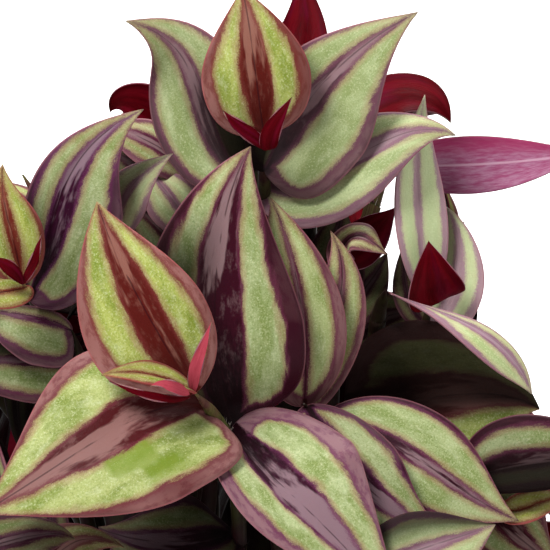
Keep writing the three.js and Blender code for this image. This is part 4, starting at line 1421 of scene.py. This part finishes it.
def make_pot():
    pot = turned_form("clay_pot", [
        (POT_FOOT_RADIUS - POT_EDGE, 0), (POT_FOOT_RADIUS, POT_EDGE),
        (POT_BODY_TOP_RADIUS, SHOULDER - POT_EDGE), (POT_RIM_RADIUS - RIM_UNDERCUT, SHOULDER),
        (POT_RIM_RADIUS, SHOULDER + POT_EDGE), (POT_RIM_RADIUS, POT_HEIGHT - POT_EDGE),
        (POT_RIM_RADIUS - POT_EDGE, POT_HEIGHT), (MOUTH_RADIUS + POT_EDGE, POT_HEIGHT),
        (MOUTH_RADIUS, POT_HEIGHT - POT_EDGE), (wall_inside(THROAT), THROAT),
        (wall_inside(POT_FLOOR), POT_FLOOR),
    ], POT_SIDES)
    pot.data.materials.append(CLAY)
    bore_drains(pot)
    rounding = pot.modifiers.new("rounding", "BEVEL")
    rounding.width = POT_ROUNDING * MM
    rounding.segments = 3
    rounding.limit_method = "ANGLE"
    rounding.angle_limit = math.radians(25)
    apply_modifiers(pot)
    bpy.ops.object.shade_smooth_by_angle(angle=math.radians(35))
    finish_piece(pot, "clay", "pot")


SOIL_RINGS = 16
SOIL_RELIEF = 1.3
FINE_RELIEF = 0.35
SOIL_GAP = 0.7
SOIL_RADIUS = MOUTH_RADIUS - 0.5
# The lumps end this far in from that radius, and the crumbs further in.
SOIL_LEDGE = 2
CRUMB_LEDGE = 3
CRUMBS = 240
CRUMB_SIZES = (0.5, 1.5)


def soil_height(x, y):
    """The top of the soil: broad low lumps with finer ones over them."""
    waves = np.sin(0.42 * x + 1.1) * np.cos(0.37 * y) + 0.6 * np.sin(0.83 * y - 0.51 * x)
    fine = np.sin(1.9 * x + 2.3 * y) * np.cos(2.7 * x - 1.3 * y) + np.sin(3.1 * y + 0.7 * x)
    return SOIL_TOP + SOIL_RELIEF * waves + FINE_RELIEF * fine


def make_soil():
    """The pot's filling: a puck whose top is inset ring by ring and lifted into lumps, with crumbs."""
    soil = turned_form("potting_soil", [
        (wall_inside(POT_FLOOR) - SOIL_GAP, POT_FLOOR + SOIL_GAP / 2),
        (wall_inside(THROAT) - SOIL_GAP, THROAT),
        (SOIL_RADIUS - SOIL_LEDGE / 2, SOIL_TOP),
    ], POT_SIDES // 2)
    soil.data.materials.append(PEAT)
    select_only(soil)
    bpy.ops.object.mode_set(mode="EDIT")
    bpy.ops.mesh.select_all(action="DESELECT")
    leave_edit()
    top = max(soil.data.polygons, key=lambda face: face.center.z)
    top.select = True
    bpy.ops.object.mode_set(mode="EDIT")
    for _ in range(SOIL_RINGS):
        bpy.ops.mesh.inset(thickness=(SOIL_RADIUS - SOIL_LEDGE) / SOIL_RINGS * MM)
    leave_edit()
    points = points_of(soil)
    out = np.hypot(points[:, 0], points[:, 1])
    upper = (points[:, 2] > SOIL_TOP - 0.01) & (out < SOIL_RADIUS - SOIL_LEDGE)
    points[upper, 2] = soil_height(points[upper, 0], points[upper, 1])
    set_points(soil, points)
    whole = join([soil] + scatter_crumbs(), "potting_soil")
    bpy.ops.object.shade_smooth_by_angle(angle=math.radians(50))
    finish_piece(whole, "earth", "soil")


def scatter_crumbs():
    """Loose crumbs of peat lying on the soil."""
    deselect()
    bpy.ops.mesh.primitive_ico_sphere_add(subdivisions=1, radius=MM)
    crumb = rename("crumb")
    crumb.data.materials.append(PEAT)
    grain = points_of(crumb)
    made = []
    for number in range(CRUMBS):
        out = (SOIL_RADIUS - CRUMB_LEDGE) * math.sqrt((number + 0.5) / CRUMBS)
        turn = GOLDEN_TURN * number
        x, y = out * math.cos(turn), out * math.sin(turn)
        size = looks_draws.between(*CRUMB_SIZES)
        rough = np.array([[looks_draws.between(0.6, 1.2)] for _ in grain])
        piece = copy_of(crumb, f"crumb_{number}")
        set_points(piece, grain * rough * size + np.array([x, y, soil_height(x, y)]))
        made.append(piece)
    bpy.data.objects.remove(crumb)
    return made


make_pot()
make_soil()


# ---- Floor and light, in metres ----
FLOOR_RADIUS = 3
FOLIAGE_MIDDLE = (0, 0, 0.18)
FLOOR_BEHIND = (0, 0.9, 0)
AMBIENT = 0.1


def plain_floor():
    finish = Paint("floor", Base_Color=(0.9, 0.9, 0.9, 1), Roughness=0.9)
    deselect()
    bpy.ops.mesh.primitive_circle_add(vertices=64, radius=FLOOR_RADIUS, fill_type="NGON")
    floor = rename("floor")
    floor.data.materials.append(finish.material)


def soft_light(name, place, aim, size, power):
    """A round soft box, turned to what it lights."""
    deselect()
    bpy.ops.object.light_add(type="AREA", location=place)
    lamp = bpy.context.object
    lamp.name = name
    lamp.data.shape = "DISK"
    lamp.data.size = size
    lamp.data.energy = power
    across, along, down = (a - b for a, b in zip(aim, place))
    flat = math.hypot(across, along)
    lamp.rotation_euler = (math.atan2(flat, -down), 0, math.atan2(-across, along))


def studio_world():
    """Soft white light from all round, which looks full white where it is seen itself."""
    world = bpy.data.worlds.new("studio")
    world.use_nodes = True
    tree = world.node_tree
    seen = tree.nodes.new("ShaderNodeLightPath").outputs["Is Camera Ray"]
    strength = tree.nodes.new("ShaderNodeMapRange")
    strength.inputs["To Min"].default_value = AMBIENT
    strength.inputs["To Max"].default_value = 1.0
    background = tree.nodes["Background"]
    background.inputs["Color"].default_value = (1, 1, 1, 1)
    tree.links.new(seen, strength.inputs["Value"])
    tree.links.new(strength.outputs["Result"], background.inputs["Strength"])
    bpy.context.scene.world = world


plain_floor()
soft_light("key", (-0.8, -1.0, 1.7), FOLIAGE_MIDDLE, size=0.7, power=58)
soft_light("fill", (1.4, -0.2, 0.9), FOLIAGE_MIDDLE, size=0.9, power=9)
soft_light("backdrop", (0, 1.1, 1.6), FLOOR_BEHIND, size=1.6, power=60)
studio_world()
bpy.context.scene.view_settings.view_transform = "Standard"
